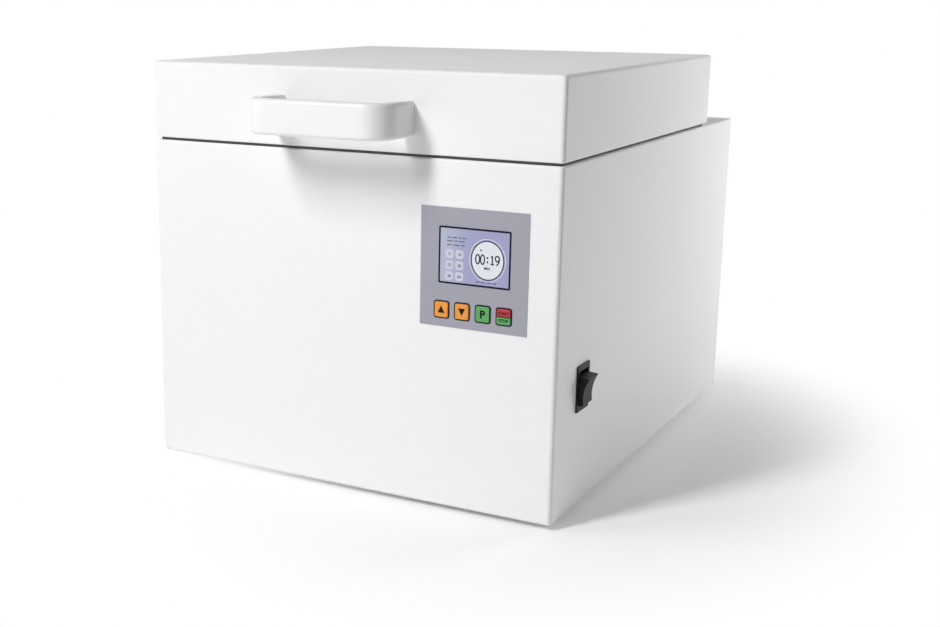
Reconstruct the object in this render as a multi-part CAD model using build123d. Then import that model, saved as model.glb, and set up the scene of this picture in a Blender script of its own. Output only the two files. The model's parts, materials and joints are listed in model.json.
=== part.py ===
from build123d import *
from math import cos, radians, sin
import os

# Bench-top light curing box for dental work: a painted steel body with a mirror-lined lamp chamber,
# a hinged lid with a bow handle, a timer panel, a side rocker switch and a rear fan and mains inlet.
# Every piece is drawn with x from the body's middle, y from its front face and z from the table,
# and is then moved so that the origin is the middle of the footprint. All sizes are in millimetres.

# --- Outer form ---
body_w = 410.0          # across the front
body_d = 512.0          # front to back
body_h = 308.0          # painted shell alone, without feet
foot_gap = 4.0          # shell's lower edge above the table
seam = 2.7              # open line between body and lid
lid_h = 70.6
lid_d = 414.0           # shorter than the body, which leaves a ledge behind
sheet = 1.5             # folded steel
edge_r = 4.0            # outer bends
rim_r = 2.0             # softer bend round the body's top
lid_top_r = 3.5
lid_rim_r = 1.2
lip_w = 14.0            # inward returns of the body's floor
plate_corner = 4.0      # cut corners of the floor plate
rear_lip = 20.0         # frame left round the rear opening
fit = 0.3               # clearance between separate pieces
slip = 0.05             # radial clearance of a pin in its hole

# --- Lamp chamber ---
chamber_w = 260.0       # clear between facing lamps, both ways
chamber_h = 195.0       # from the glass plate to the rim
tub_t = 1.2             # mirror aluminium
tub_corner = 22.0       # chamfer of the tub's upright corners
tub_flange = 10.0
flange_corner = 4.0
gasket_w = 10.0
gasket_inset = 4.0      # gasket behind the body's outer faces
gasket_corner = 3.0
lid_recess = 40.0       # depth of the lid's lamp tray
lid_lip = 30.0          # inward return of the lid's skirt
floor_room = 28.0       # between the tub's floor and the top of the glass plate
glass_t = 4.0
glass_w = 256.0
glass_bevel = 0.8

# --- Twin-tube lamps ---
tube_d = 17.5
tube_pitch = 20.5
tube_len = 195.0
tube_tip = 4.0          # bevel of the sealed end
bridge_d = 8.0          # glass bridge between the two tubes
bridge_in = 12.0        # bridge behind the sealed end
lamp_base_len = 20.0
lamp_base_w = 38.0
socket_len = 18.0
socket_w = 42.0
socket_step = 6.0       # foot that reaches under the lamp's base
socket_bevel = 3.0
lamp_off = 4.5          # tube above the reflector
clip_len = 6.0
clip_side = 2.5         # clip past each tube
clip_in = 28.0          # clip behind the sealed end
floor_lamp_pitch = 110.0

# --- Glass plate posts ---
post_w = 24.0
post_t = 2.0
post_lip = 3.0

# --- Handle ---
handle_w = 140.0
handle_h = 31.0
handle_reach = 55.5
handle_up = 14.3        # above the lid's lower edge
handle_arm = 11.5
handle_bend = 24.0
handle_soft = 7.0       # outer long edges
handle_soft_in = 3.5    # inner long edges
handle_screw_r = 2.5
handle_screw_in = 16.0

# --- Control panel ---
panel_in = 27.0         # panel's edge from the right side wall
panel_z = 220.0
panel_w = 100.0
panel_h = 104.0
film_t = 0.4
window_w = 66.5
window_h = 49.5
window_dx = 0.5
window_dz = 11.0
window_t = 0.6
window_rest = 2.3       # overlap of the window on the wall round its hole
display_w = 80.0
display_h = 60.0
display_t = 7.5
key_w = 12.5
key_h = 13.3
key_pitch = 19.35
key_dz = -37.0
key_dx = -0.1
key_proud = 1.5
key_travel = 0.8
key_corner = 1.5
key_bevel = 0.4
key_flange = 1.8
key_flange_t = 1.5
key_stem_r = 2.0
key_stem = 3.0
frame_edge = 1.3
frame_t = 0.7
board_t = 1.6
board_edge = 4.0        # board past the panel's outline
board_y = 16.0
standoff_r = 3.0
standoff_in = 5.0       # standoff from the board's edges
plunger_r = 3.4
tact_w = 12.0
tact_t = 4.3

# --- Rocker switch on the right side ---
switch_y = 63.5
switch_z = 113.5
bezel_w = 28.5
bezel_h = 41.5
bezel_t = 1.5
bezel_r = 1.0
rocker_w = 22.0
rocker_half = 13.0      # pivot to tip
rocker_rise = 12.0      # tip above the pivot
rocker_dip = 2.4        # hollow of the thumb face
rocker_tilt = 11.0      # degrees each side of level
rocker_out = 11.0       # raised tip beyond the side wall
rocker_under = 5.0
rocker_taper = 1.0      # each tip's lean towards the pivot
rocker_soft = 0.8
switch_wall = 1.3
switch_depth = 26.0
switch_pin_r = 1.5
blade_w = 6.3
blade_t = 0.8
blade_len = 8.0

# --- Fan ---
fan_in = 110.0          # fan's middle from the left side wall
fan_z = 214.0
fan_w = 80.0
fan_t = 25.0
fan_bore_r = 38.0
fan_hole_pitch = 71.5
fan_hole_r = 2.2
fan_corner_r = 4.5
hub_r = 16.0
hub_h = 19.0
hub_cap = 4.0
blade_count = 7
blade_r = 36.8          # swept by the blade tips
blade_root = 1.5        # blade sunk into the hub
blade_skin = 1.6
blade_camber = 0.08     # rise over chord
blade_chords = (17.0, 21.0, 24.0)    # root, middle and tip
blade_pitches = (52.0, 40.0, 30.0)   # degrees
motor_r = 14.0
motor_t = 3.0
strut_w = 5.0
strut_count = 3
strut_turn = 30.0       # degrees from level to the first strut
axle_r = 2.0
guard_wire_r = 0.9
guard_rings = 4
guard_r = 36.0          # outermost ring
guard_pitch = 7.5
guard_rise = 3.6

# --- Mains inlet ---
inlet_in = 87.0         # inlet's middle from the right side wall
inlet_z = 58.0
inlet_w = 50.0
inlet_h = 34.0
inlet_corner = 4.0
inlet_flange = 3.0
inlet_body_w = 28.0
inlet_body_h = 32.0
inlet_depth = 24.0
socket_hole_w = 24.5
socket_hole_h = 17.0
socket_hole_d = 16.0
socket_dz = 5.0
socket_chamfer = 5.0
inlet_screw_pitch = 40.0
inlet_screw_r = 1.6
pin_w = 2.0
pin_h = 4.0
pin_len = 13.0
pin_pitch = 14.0
line_pin_dz = -2.0      # the two outer pins from the socket's middle
earth_pin_dz = 2.5
drawer_w = 17.0
drawer_h = 6.5
drawer_d = 18.0
drawer_dz = -10.5
drawer_travel = 12.0    # brings the whole fuse bay out
drawer_front = 3.0
drawer_side = 1.5
drawer_floor = 1.2
drawer_lip = 1.2

# --- Hinges ---
hinge_in = 85.0         # hinge's middle from the side wall
hinge_off = 4.0         # axis behind the lid's rear wall and above the ledge
knuckle_r = 3.7
knuckle_len = 14.0
knuckle_gap = 0.4
hinge_pin_r = 1.5
pin_head = 1.0          # thickness, and what it stands out round the pin
leaf_t = 1.5
leaf_len = 28.0
leaf_neck = 4.5
hinge_screw_r = 1.6
lid_open = 93.0         # degrees
stop_in = 40.0          # stop's middle from the side wall
stop_back = 55.0
stop_r = 7.0
stop_bevel = 1.0

# --- Rear, floor, feet and electrics ---
panel_t = 1.5
panel_corner = 3.0
slot_h = 4.0
slot_len = 70.0
slot_pitch = 10.0
slot_count = 9
vent_in = 110.0         # grille's middle from the right side wall
vent_z = 214.0
floor_slot_len = 90.0
floor_slot_count = 7
floor_slot_x = 120.0
base_screw_in = 60.0    # end screws from the front and rear walls
foot_r = 10.0
foot_bevel = 1.5
foot_in = 34.0
foot_stem_r = 3.0
foot_head_r = 4.6
foot_head = 2.0
screw_r = 1.9
screw_head_r = 3.4
screw_head = 1.2
hinge_head_r = 3.0
lid_screw_in = 8.0      # lid's tray screws behind the edge of its inward lip
thread_end = 1.5        # thread past the last sheet
drill_depth = 8.0
ballast_size = (103.0, 67.0, 30.0)
ballast_in = 23.5       # outer ballasts from the side walls
ballast_pitch = 110.0   # front to back
supply_size = (159.0, 97.0, 38.0)
supply_in = 55.5        # supply from the left side wall
terminal_size = (96.0, 22.0, 18.0)
terminal_gap = 27.5     # between the supply and the terminals
terminal_count = 8
terminal_slot = (6.6, 8.8, 9.0)
case_bevel = 4.0
sensor_size = (23.0, 14.0, 6.0)

# --- Places worked out from the sizes above ---
body_low = foot_gap
body_top = foot_gap + body_h
lid_low = body_top + seam
lid_top = lid_low + lid_h
tub_half = chamber_w / 2 + tube_d + lamp_off
chamber_y = lid_d / 2
glass_top = body_top - chamber_h
tub_floor = glass_top - floor_room
tray_low = lid_low + sheet
tray_top = tray_low + lid_recess
lamp_len = socket_len + lamp_base_len + tube_len
hinge_y = lid_d + hinge_off
hinge_z = body_top + hinge_off
rear_face = body_d + panel_t
panel_x = body_w / 2 - panel_in - panel_w / 2
window_x = panel_x + window_dx
window_z = panel_z + window_dz
switch_x = body_w / 2
housing_w = bezel_w - 2 * switch_wall
housing_h = bezel_h - 4 * switch_wall
rocker_x = (switch_x + rocker_out - rocker_rise * cos(radians(rocker_tilt))
            - rocker_half * sin(radians(rocker_tilt)))
fan_x = fan_in - body_w / 2
vent_x = body_w / 2 - vent_in
inlet_x = body_w / 2 - inlet_in
hinge_x = body_w / 2 - hinge_in
stop_x = body_w / 2 - stop_in
supply_x = supply_in + supply_size[0] / 2 - body_w / 2
terminal_x = supply_x + (supply_size[0] + terminal_size[0]) / 2 + terminal_gap
guard_out = rear_face + guard_rise + 1.5 * guard_wire_r
footprint_x = rocker_out / 2
footprint_y = (guard_out - handle_reach) / 2


def block(x0, x1, y0, y1, z0, z1):
    """A square-edged block between two corners."""
    middle = Pos((x0 + x1) / 2, (y0 + y1) / 2, (z0 + z1) / 2)
    return middle * Box(x1 - x0, y1 - y0, z1 - z0)


def drawn_on_front(face, y0, y1):
    """A face drawn in x and z, given the depth from y0 back to y1."""
    return extrude(Plane.XZ.offset(-y1) * face, y1 - y0)


def drawn_on_side(face, x0, x1):
    """A face drawn in y and z, given the width from x0 to x1."""
    return extrude(Plane.YZ.offset(x0) * face, x1 - x0)


def drawn_on_plan(face, z0, z1):
    """A face drawn in x and y, given the height from z0 up to z1."""
    return extrude(Plane.XY.offset(z0) * face, z1 - z0)


def round_box(width, y0, y1, z0, z1, upright_r, top_r, low_r):
    """A box about x = 0 with its upright, top and lower edges rounded."""
    solid = block(-width / 2, width / 2, y0, y1, z0, z1)
    if upright_r > 0:
        solid = fillet(solid.edges().filter_by(Axis.Z), upright_r)
    if top_r > 0:
        solid = fillet(solid.edges().group_by(Axis.Z)[-1], top_r)
    if low_r > 0:
        solid = fillet(solid.edges().group_by(Axis.Z)[0], low_r)
    return solid


def cornered(half_x, half_y, corner):
    """A rectangle with its four corners cut off at 45 degrees."""
    return chamfer(Rectangle(2 * half_x, 2 * half_y).vertices(), corner)


def screw(seat, shank, head=screw_head_r, rise=screw_head, radius=screw_r):
    """A pan-headed screw: its head stands out along the seat's +z and its shank runs down."""
    outline = Polyline((0, rise), (head * 0.6, rise), (head, rise * 0.4), (head, 0),
                       (radius, 0), (radius, -shank), (0, -shank), (0, rise))
    return seat * revolve(Plane.XZ * make_face(outline), Axis.Z)


def drilled(solid, seats, radius=screw_r + slip):
    """The solid with a through hole at each screw's seat."""
    for seat in seats:
        solid -= seat * Cylinder(radius, 2 * drill_depth)
    return solid


def facing(x, y, z, out):
    """A seat whose +z points along the given outward direction."""
    across = (1, 0, 0) if out[0] == 0 else (0, 1, 0)
    return Plane(origin=(x, y, z), x_dir=across, z_dir=out).location


# --- Painted sheet-metal body ---

def rear_opening():
    return Rectangle(body_w - 2 * rear_lip, body_h - 2 * rear_lip)


def rear_screw_seats():
    """Screws along both upright sides of the rear panel."""
    x = body_w / 2 - rear_lip / 2
    middle = body_low + body_h / 2
    reach = body_h / 2 - rear_lip
    return [facing(side * x, rear_face, middle + step * reach, (0, 1, 0))
            for side in (-1, 1) for step in (-1, 0, 1)]


def base_screw_seats():
    """Screws under both long lips of the body's floor, heads downward."""
    x = body_w / 2 - sheet - lip_w / 2
    reach = body_d / 2 - base_screw_in
    return [facing(side * x, body_d / 2 + step * reach, body_low, (0, 0, -1))
            for side in (-1, 1) for step in (-1, 0, 1)]


def tub_screw_seats():
    """One screw in the middle of each side of the tub's flange."""
    reach = tub_half + tub_t + tub_flange / 2
    middles = ((reach, 0), (-reach, 0), (0, reach), (0, -reach))
    return [facing(x, chamber_y + y, body_top + tub_t, (0, 0, 1)) for x, y in middles]


def key_places():
    """The four keys' middles, left to right."""
    return [(panel_x + key_dx + (i - 1.5) * key_pitch, panel_z + key_dz) for i in range(4)]


def board_corner_places():
    reach_x = panel_w / 2 + board_edge - standoff_in
    reach_z = panel_h / 2 + board_edge - standoff_in
    return [(panel_x + i * reach_x, panel_z + j * reach_z) for i in (-1, 1) for j in (-1, 1)]


def body_shell():
    outer = round_box(body_w, 0, body_d, body_low, body_top, edge_r, rim_r, edge_r)
    inner = round_box(body_w - 2 * sheet, sheet, body_d - sheet, body_low + sheet,
                      body_top - sheet, edge_r - sheet, 0, edge_r - sheet)
    shell = outer - inner
    floor_hole = cornered(body_w / 2 - lip_w - sheet, body_d / 2 - lip_w - sheet, lip_w)
    shell -= Pos(0, body_d / 2, 0) * drawn_on_plan(floor_hole, 0, body_low + 2 * sheet)
    rear = Pos(0, body_low + body_h / 2) * rear_opening()
    shell -= drawn_on_front(rear, body_d - 2 * sheet, body_d + sheet)
    mouth = cornered(tub_half + tub_t + fit, tub_half + tub_t + fit, tub_corner)
    shell -= Pos(0, chamber_y, 0) * drawn_on_plan(mouth, body_top - 2 * sheet, body_top + sheet)
    view = Rectangle(window_w - 2 * window_rest, window_h - 2 * window_rest)
    shell -= drawn_on_front(Pos(window_x, window_z) * view, -sheet, 2 * sheet)
    for x, z in key_places():
        hole = RectangleRounded(key_w + 2 * fit, key_h + 2 * fit, key_corner + fit)
        shell -= drawn_on_front(Pos(x, z) * hole, -sheet, 2 * sheet)
    cut = Rectangle(housing_w, housing_h)
    shell -= drawn_on_side(Pos(switch_y, switch_z) * cut, switch_x - 2 * sheet, switch_x + sheet)
    shell = drilled(shell, rear_screw_seats() + base_screw_seats() + tub_screw_seats())
    return drilled(shell, hinge_screw_seats("body"), hinge_screw_r + slip)


def base_plate():
    half_x = body_w / 2 - edge_r - fit
    half_y = body_d / 2 - edge_r - fit
    low = body_low + sheet
    plate = Pos(0, body_d / 2, 0) * drawn_on_plan(cornered(half_x, half_y, plate_corner), low, low + sheet)
    slots = Sketch()
    for side in (-1, 1):
        for i in range(floor_slot_count):
            y = chamber_y + (i - (floor_slot_count - 1) / 2) * slot_pitch
            slots += Pos(side * floor_slot_x / 2, y) * SlotOverall(floor_slot_len, slot_h)
    plate -= drawn_on_plan(slots, low - 1, low + sheet + 1)
    for x, y in foot_places():
        plate -= Pos(x, y, low) * Cylinder(foot_stem_r + slip, 4 * sheet)
    return drilled(plate, base_screw_seats())


def rear_panel():
    """Outer rear cover with the fan's hole, an air grille and the inlet's hole."""
    middle = body_low + body_h / 2
    outline = RectangleRounded(body_w - 2 * edge_r, body_h - 2 * edge_r, panel_corner)
    sheet_face = Pos(0, middle) * outline
    sheet_face -= Pos(fan_x, fan_z) * Circle(fan_bore_r)
    for i in range(slot_count):
        z = vent_z + (i - (slot_count - 1) / 2) * slot_pitch
        sheet_face -= Pos(vent_x, z) * SlotOverall(slot_len, slot_h)
    sheet_face -= Pos(inlet_x, inlet_z) * Rectangle(inlet_body_w + fit, inlet_body_h + fit)
    panel = drawn_on_front(sheet_face, body_d, rear_face)
    panel = drilled(panel, rear_screw_seats() + fan_screw_seats())
    return drilled(panel, inlet_screw_seats(), inlet_screw_r + slip)


def rear_screws():
    return [screw(seat, panel_t + sheet + thread_end) for seat in rear_screw_seats()]


def base_screws():
    return [screw(seat, 2 * sheet + thread_end) for seat in base_screw_seats()]


# --- Rubber feet ---

def foot_places():
    reach_x = body_w / 2 - foot_in
    return [(side * reach_x, y) for side in (-1, 1) for y in (foot_in, body_d - foot_in)]


def rubber_feet():
    under = body_low + sheet
    over = under + sheet
    outline = Polyline((0, 0), (foot_r - foot_bevel, 0), (foot_r, foot_bevel), (foot_r, under),
                       (foot_stem_r, under), (foot_stem_r, over), (foot_head_r, over),
                       (foot_stem_r, over + foot_head), (0, over + foot_head), (0, 0))
    foot = revolve(Plane.XZ * make_face(outline), Axis.Z)
    return [Pos(x, y, 0) * foot for x, y in foot_places()]


# --- Chamber ---

def tub_like(half, corner, low, high, wall):
    """An open-topped tub of even wall with cut corners, about the chamber's middle."""
    outer = drawn_on_plan(cornered(half + wall, half + wall, corner), low - wall, high)
    inner = drawn_on_plan(cornered(half, half, corner), low, high + wall)
    return Pos(0, chamber_y, 0) * (outer - inner)


def reflector_tub():
    tub = tub_like(tub_half, tub_corner, tub_floor, body_top, tub_t)
    reach = tub_half + tub_t + tub_flange
    rim = RectangleRounded(2 * reach, 2 * reach, flange_corner)
    rim -= cornered(tub_half, tub_half, tub_corner)
    tub += Pos(0, chamber_y, 0) * drawn_on_plan(rim, body_top, body_top + tub_t)
    return drilled(tub, tub_screw_seats())


def tub_screws():
    return [screw(seat, tub_t + sheet + thread_end) for seat in tub_screw_seats()]


def rim_gasket():
    """Dark foam frame in the line between body and lid."""
    half_x = body_w / 2 - gasket_inset
    half_y = lid_d / 2 - gasket_inset
    ring = RectangleRounded(2 * half_x, 2 * half_y, gasket_corner)
    ring -= Rectangle(2 * (half_x - gasket_w), 2 * (half_y - gasket_w))
    return Pos(0, chamber_y, 0) * drawn_on_plan(ring, body_top, lid_low - fit)


def glass_plate():
    plate = drawn_on_plan(Rectangle(glass_w, glass_w), glass_top - glass_t, glass_top)
    return Pos(0, chamber_y, 0) * chamfer(plate.edges().group_by(Axis.Z)[-1], glass_bevel)


def glass_posts():
    """Four angle posts that carry the glass plate by its corners, with a lip round each corner."""
    rest = glass_top - glass_t
    half = glass_w / 2
    posts = []
    for i in (-1, 1):
        for j in (-1, 1):
            corner = Pos(i * half, chamber_y + j * half)
            seat = block(-post_w, fit + post_t, -post_w, fit + post_t, rest - post_t, rest)
            foot = block(fit, fit + post_t, -post_w, fit + post_t, tub_floor, rest + post_lip)
            wing = block(-post_w, fit + post_t, fit, fit + post_t, tub_floor, rest + post_lip)
            post = seat + foot + wing
            turn = {(1, 1): 0, (-1, 1): 90, (-1, -1): 180, (1, -1): 270}[(i, j)]
            posts.append(corner * Rot(0, 0, turn) * post)
    return posts


# --- Lamps: every lamp lies along its place's +x, on a wall that is below it in z ---

def lamp_place(x, y, z, along, inward):
    """A lamp centred on a point of a wall, lying along it, its tubes on the wall's inner side."""
    lift = lamp_off + tube_d / 2
    start = [p - a * lamp_len / 2 + n * lift for p, a, n in zip((x, y, z), along, inward)]
    return Plane(origin=tuple(start), x_dir=along, z_dir=inward).location


def chamber_lamp_places():
    """Two lamps on each wall, one above the other, and two on the floor."""
    places = []
    for share in (0.25, 0.75):
        z = glass_top + chamber_h * share
        places.append(lamp_place(0, chamber_y - tub_half, z, (1, 0, 0), (0, 1, 0)))
        places.append(lamp_place(0, chamber_y + tub_half, z, (-1, 0, 0), (0, -1, 0)))
        places.append(lamp_place(-tub_half, chamber_y, z, (0, -1, 0), (1, 0, 0)))
        places.append(lamp_place(tub_half, chamber_y, z, (0, 1, 0), (-1, 0, 0)))
    for side in (-1, 1):
        y = chamber_y + side * floor_lamp_pitch / 2
        places.append(lamp_place(0, y, tub_floor, (1, 0, 0), (0, 0, 1)))
    return places


def lid_lamp_places():
    return [lamp_place(0, chamber_y + side * floor_lamp_pitch / 2, tray_top, (1, 0, 0), (0, 0, -1))
            for side in (-1, 1)]


def twin_tube():
    """Two sealed tubes side by side, joined by a short bridge near their ends."""
    base = socket_len + lamp_base_len
    outline = Polyline((0, 0), (tube_d / 2, 0), (tube_d / 2, tube_len - tube_tip),
                       (tube_d / 2 - tube_tip, tube_len), (0, tube_len), (0, 0))
    tube = Pos(base, 0, 0) * Rot(0, 90, 0) * revolve(Plane.XZ * make_face(outline), Axis.Z)
    bridge = Pos(base + tube_len - bridge_in, 0, 0) * Rot(90, 0, 0) * Cylinder(bridge_d / 2, tube_pitch)
    return Pos(0, tube_pitch / 2, 0) * tube + Pos(0, -tube_pitch / 2, 0) * tube + bridge


def lamp_base():
    """Moulded base that the two tubes are cemented into."""
    end = RectangleRounded(lamp_base_w, tube_d, tube_d / 4)
    return drawn_on_side(end, socket_len, socket_len + lamp_base_len)


def lamp_socket():
    """Socket block on the reflector, with a step that the base sits against."""
    low = -lamp_off - tube_d / 2
    step = -tube_d / 2 - fit
    top = tube_d / 2
    side = Polyline((0, low), (socket_len + socket_step, low), (socket_len + socket_step, step),
                    (socket_len, step), (socket_len, top), (socket_bevel, top),
                    (0, top - socket_bevel), (0, low))
    return extrude(Plane.XZ * make_face(side), socket_w / 2, both=True)


def lamp_clip():
    """Cradle that holds both tubes near their sealed ends."""
    low = -lamp_off - tube_d / 2
    face = Pos(0, low / 2) * Rectangle(tube_pitch + tube_d + 2 * clip_side, -low)
    for side in (-1, 1):
        face -= Pos(side * tube_pitch / 2, 0) * Circle(tube_d / 2 + slip)
    start = lamp_len - clip_in - clip_len
    return drawn_on_side(face, start, start + clip_len)


def at_each(places, piece):
    return [place * piece for place in places]


# --- Lid ---

def lid_shell():
    outer = round_box(body_w, 0, lid_d, lid_low, lid_top, edge_r, lid_top_r, lid_rim_r)
    inner = round_box(body_w - 2 * sheet, sheet, lid_d - sheet, lid_low + sheet, lid_top - sheet,
                      edge_r - sheet, lid_top_r - sheet, 0)
    shell = outer - inner
    hole = Rectangle(body_w - 2 * lid_lip, lid_d - 2 * lid_lip)
    shell -= Pos(0, chamber_y, 0) * drawn_on_plan(hole, lid_low - sheet, lid_low + 2 * sheet)
    shell = drilled(shell, handle_screw_seats(), handle_screw_r + slip)
    shell = drilled(shell, lid_screw_seats())
    return drilled(shell, hinge_screw_seats("lid"), hinge_screw_r + slip)


def lid_reflector():
    """Mirror-finished tray that closes the lid from inside and holds its lamps."""
    outer = drawn_on_plan(cornered(tub_half + tub_t, tub_half + tub_t, tub_corner),
                          tray_low, tray_top + tub_t)
    reach_x = body_w / 2 - edge_r - fit
    reach_y = lid_d / 2 - edge_r - fit
    outer += drawn_on_plan(Rectangle(2 * reach_x, 2 * reach_y), tray_low, tray_low + tub_t)
    inner = drawn_on_plan(cornered(tub_half, tub_half, tub_corner), tray_low - tub_t, tray_top)
    return drilled(Pos(0, chamber_y, 0) * (outer - inner), lid_screw_seats())


def lid_screw_seats():
    """Seats on the underside of the lid's inward lip, heads downward."""
    x = body_w / 2 - lid_lip + lid_screw_in
    y = lid_d / 2 - lid_lip + lid_screw_in
    return [facing(i * x, chamber_y + j * y, lid_low, (0, 0, -1)) for i in (-1, 1) for j in (-1, 1)]


def lid_screws():
    """Screws that hold the tray's flange to the lid's lip."""
    return [screw(seat, sheet + tub_t + thread_end) for seat in lid_screw_seats()]


def handle_screw_seats():
    """Seats on the inner face of the lid's front wall, behind the handle's two arms."""
    z = lid_low + handle_up + handle_h / 2
    return [facing(side * (handle_w - handle_arm) / 2, sheet, z, (0, 1, 0)) for side in (-1, 1)]


def lid_handle():
    """Moulded bow: two arms bend in wide curves into a flat grip, with all long edges softened."""
    half = handle_w / 2
    bend = handle_bend
    inner_half = half - handle_arm
    inner_bend = bend - handle_arm
    inner_front = -handle_reach + handle_arm
    outer = Line((-half, 0), (-half, bend - handle_reach))
    outer += RadiusArc((-half, bend - handle_reach), (bend - half, -handle_reach), -bend)
    outer += Line((bend - half, -handle_reach), (half - bend, -handle_reach))
    outer += RadiusArc((half - bend, -handle_reach), (half, bend - handle_reach), -bend)
    outer += Line((half, bend - handle_reach), (half, 0))
    outer += Line((half, 0), (inner_half, 0))
    outer += Line((inner_half, 0), (inner_half, inner_front + inner_bend))
    outer += RadiusArc((inner_half, inner_front + inner_bend),
                       (inner_half - inner_bend, inner_front), inner_bend)
    outer += Line((inner_half - inner_bend, inner_front), (inner_bend - inner_half, inner_front))
    outer += RadiusArc((inner_bend - inner_half, inner_front),
                       (-inner_half, inner_front + inner_bend), inner_bend)
    outer += Line((-inner_half, inner_front + inner_bend), (-inner_half, 0))
    outer += Line((-inner_half, 0), (-half, 0))
    low = lid_low + handle_up
    bow = drawn_on_plan(make_face(outer), low, low + handle_h)
    long_edges = bow.edges().group_by(Axis.Z)[0] + bow.edges().group_by(Axis.Z)[-1]
    long_edges = [e for e in long_edges if e.center().Y < -0.01]
    outside = [e for e in long_edges if is_outside(e)]
    inside = [e for e in long_edges if not is_outside(e)]
    bow = fillet(outside, handle_soft)
    bow = fillet(inside, handle_soft_in)
    for seat in handle_screw_seats():
        depth = handle_screw_in + sheet
        bow -= seat * Pos(0, 0, -depth / 2) * Cylinder(handle_screw_r + slip, depth)
    return bow


def is_outside(edge):
    """True for an edge of the bow's outer face."""
    middle = edge @ 0.5
    return abs(middle.X) > handle_w / 2 - handle_arm / 2 or middle.Y < -handle_reach + handle_arm / 2


def handle_screws():
    return [screw(seat, sheet + handle_screw_in - thread_end, 2 * handle_screw_r, handle_screw_r,
                  handle_screw_r) for seat in handle_screw_seats()]


def lid_magnet():
    """Small magnet on the lid's tray that works the lid sensor."""
    width, depth, height = sensor_size
    low = tray_low + tub_t
    y = (lid_lip + sheet) / 2
    return block(-width / 2, width / 2, y - depth / 2, y + depth / 2, low, low + height)


# --- Hinges: two knuckles stay with the body and one turns with the lid ---

def knuckle_spans():
    """The x spans of the three knuckles about a hinge's middle, and who carries each."""
    pitch = knuckle_len + knuckle_gap
    return [(-pitch, "body"), (0, "lid"), (pitch, "body")]


def knuckle(x, carrier):
    """A rolled knuckle with the short neck that runs to its leaf."""
    face = Circle(knuckle_r)
    if carrier == "body":
        face += Pos(leaf_neck / 2, -hinge_off + leaf_t / 2) * Rectangle(leaf_neck, leaf_t)
    else:
        face += Pos(-hinge_off + leaf_t / 2, leaf_neck / 2) * Rectangle(leaf_t, leaf_neck)
    face -= Circle(hinge_pin_r + slip)
    return drawn_on_side(Pos(hinge_y, hinge_z) * face, x - knuckle_len / 2, x + knuckle_len / 2)


def hinge_leaf(middle, carrier):
    """One leaf with its knuckles; the body's lies on the ledge, the lid's on its rear wall."""
    half = 1.5 * knuckle_len + knuckle_gap
    if carrier == "body":
        leaf = block(middle - half, middle + half, hinge_y + leaf_neck, hinge_y + leaf_len,
                     body_top, body_top + leaf_t)
    else:
        leaf = block(middle - half, middle + half, lid_d, lid_d + leaf_t,
                     hinge_z + leaf_neck, hinge_z + leaf_len)
    for x, owner in knuckle_spans():
        if owner == carrier:
            leaf += knuckle(middle + x, carrier)
    return leaf


def hinge_leaves(carrier):
    leaves = [hinge_leaf(side * hinge_x, carrier) for side in (-1, 1)]
    return [drilled(leaf, hinge_screw_seats(carrier), hinge_screw_r + slip) for leaf in leaves]


def hinge_pins():
    """Headed pins through the three knuckles of each hinge."""
    half = 1.5 * knuckle_len + knuckle_gap
    pin = Rot(0, 90, 0) * Cylinder(hinge_pin_r, 2 * half + 2 * fit)
    for side in (-1, 1):
        head = Rot(0, 90, 0) * Cylinder(hinge_pin_r + pin_head, pin_head)
        pin += Pos(side * (half + fit + pin_head / 2), 0, 0) * head
    return [Pos(side * hinge_x, hinge_y, hinge_z) * pin for side in (-1, 1)]


def hinge_screw_seats(carrier):
    """Two seats on each leaf, on the ledge for the body and on the rear wall for the lid."""
    along = (leaf_neck + leaf_len) / 2
    seats = []
    for side in (-1, 1):
        for step in (-1, 1):
            x = side * hinge_x + step * knuckle_len
            if carrier == "body":
                seats.append(facing(x, hinge_y + along, body_top + leaf_t, (0, 0, 1)))
            else:
                seats.append(facing(x, lid_d + leaf_t, hinge_z + along, (0, 1, 0)))
    return seats


def hinge_screws(carrier):
    return [screw(seat, leaf_t + sheet + thread_end, hinge_head_r, screw_head, hinge_screw_r)
            for seat in hinge_screw_seats(carrier)]


def lid_stops():
    """Rubber buttons on the ledge that the open lid's rear wall comes to rest on."""
    turn = radians(lid_open)
    height = hinge_off + hinge_off * sin(turn) + (stop_back + stop_r) * cos(turn) - fit
    outline = Polyline((0, 0), (stop_r, 0), (stop_r, height - stop_bevel), (stop_r - stop_bevel, height),
                       (0, height), (0, 0))
    stop = revolve(Plane.XZ * make_face(outline), Axis.Z)
    return [Pos(side * stop_x, hinge_y + stop_back, body_top) * stop for side in (-1, 1)]


# --- Control panel on the front ---

def panel_overlay():
    """Printed film with a window and four key openings."""
    face = Pos(panel_x, panel_z) * Rectangle(panel_w, panel_h)
    face -= Pos(window_x, window_z) * Rectangle(window_w + 2 * slip, window_h + 2 * slip)
    for x, z in key_places():
        face -= Pos(x, z) * RectangleRounded(key_w + 2 * frame_edge + 2 * slip,
                                             key_h + 2 * frame_edge + 2 * slip, key_corner + frame_edge)
    return drawn_on_front(face, -film_t, 0)


def display_window():
    face = Pos(window_x, window_z) * Rectangle(window_w, window_h)
    return drawn_on_front(face, -window_t, 0)


def display_module():
    """Display behind the window, with its flat metal frame against the wall."""
    face = Pos(window_x, window_z) * Rectangle(display_w, display_h)
    module = drawn_on_front(face, sheet, sheet + display_t)
    glass = Pos(window_x, window_z) * Rectangle(window_w - 2 * window_rest - 2 * fit,
                                                window_h - 2 * window_rest - 2 * fit)
    return module + drawn_on_front(glass, fit, sheet)


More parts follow.
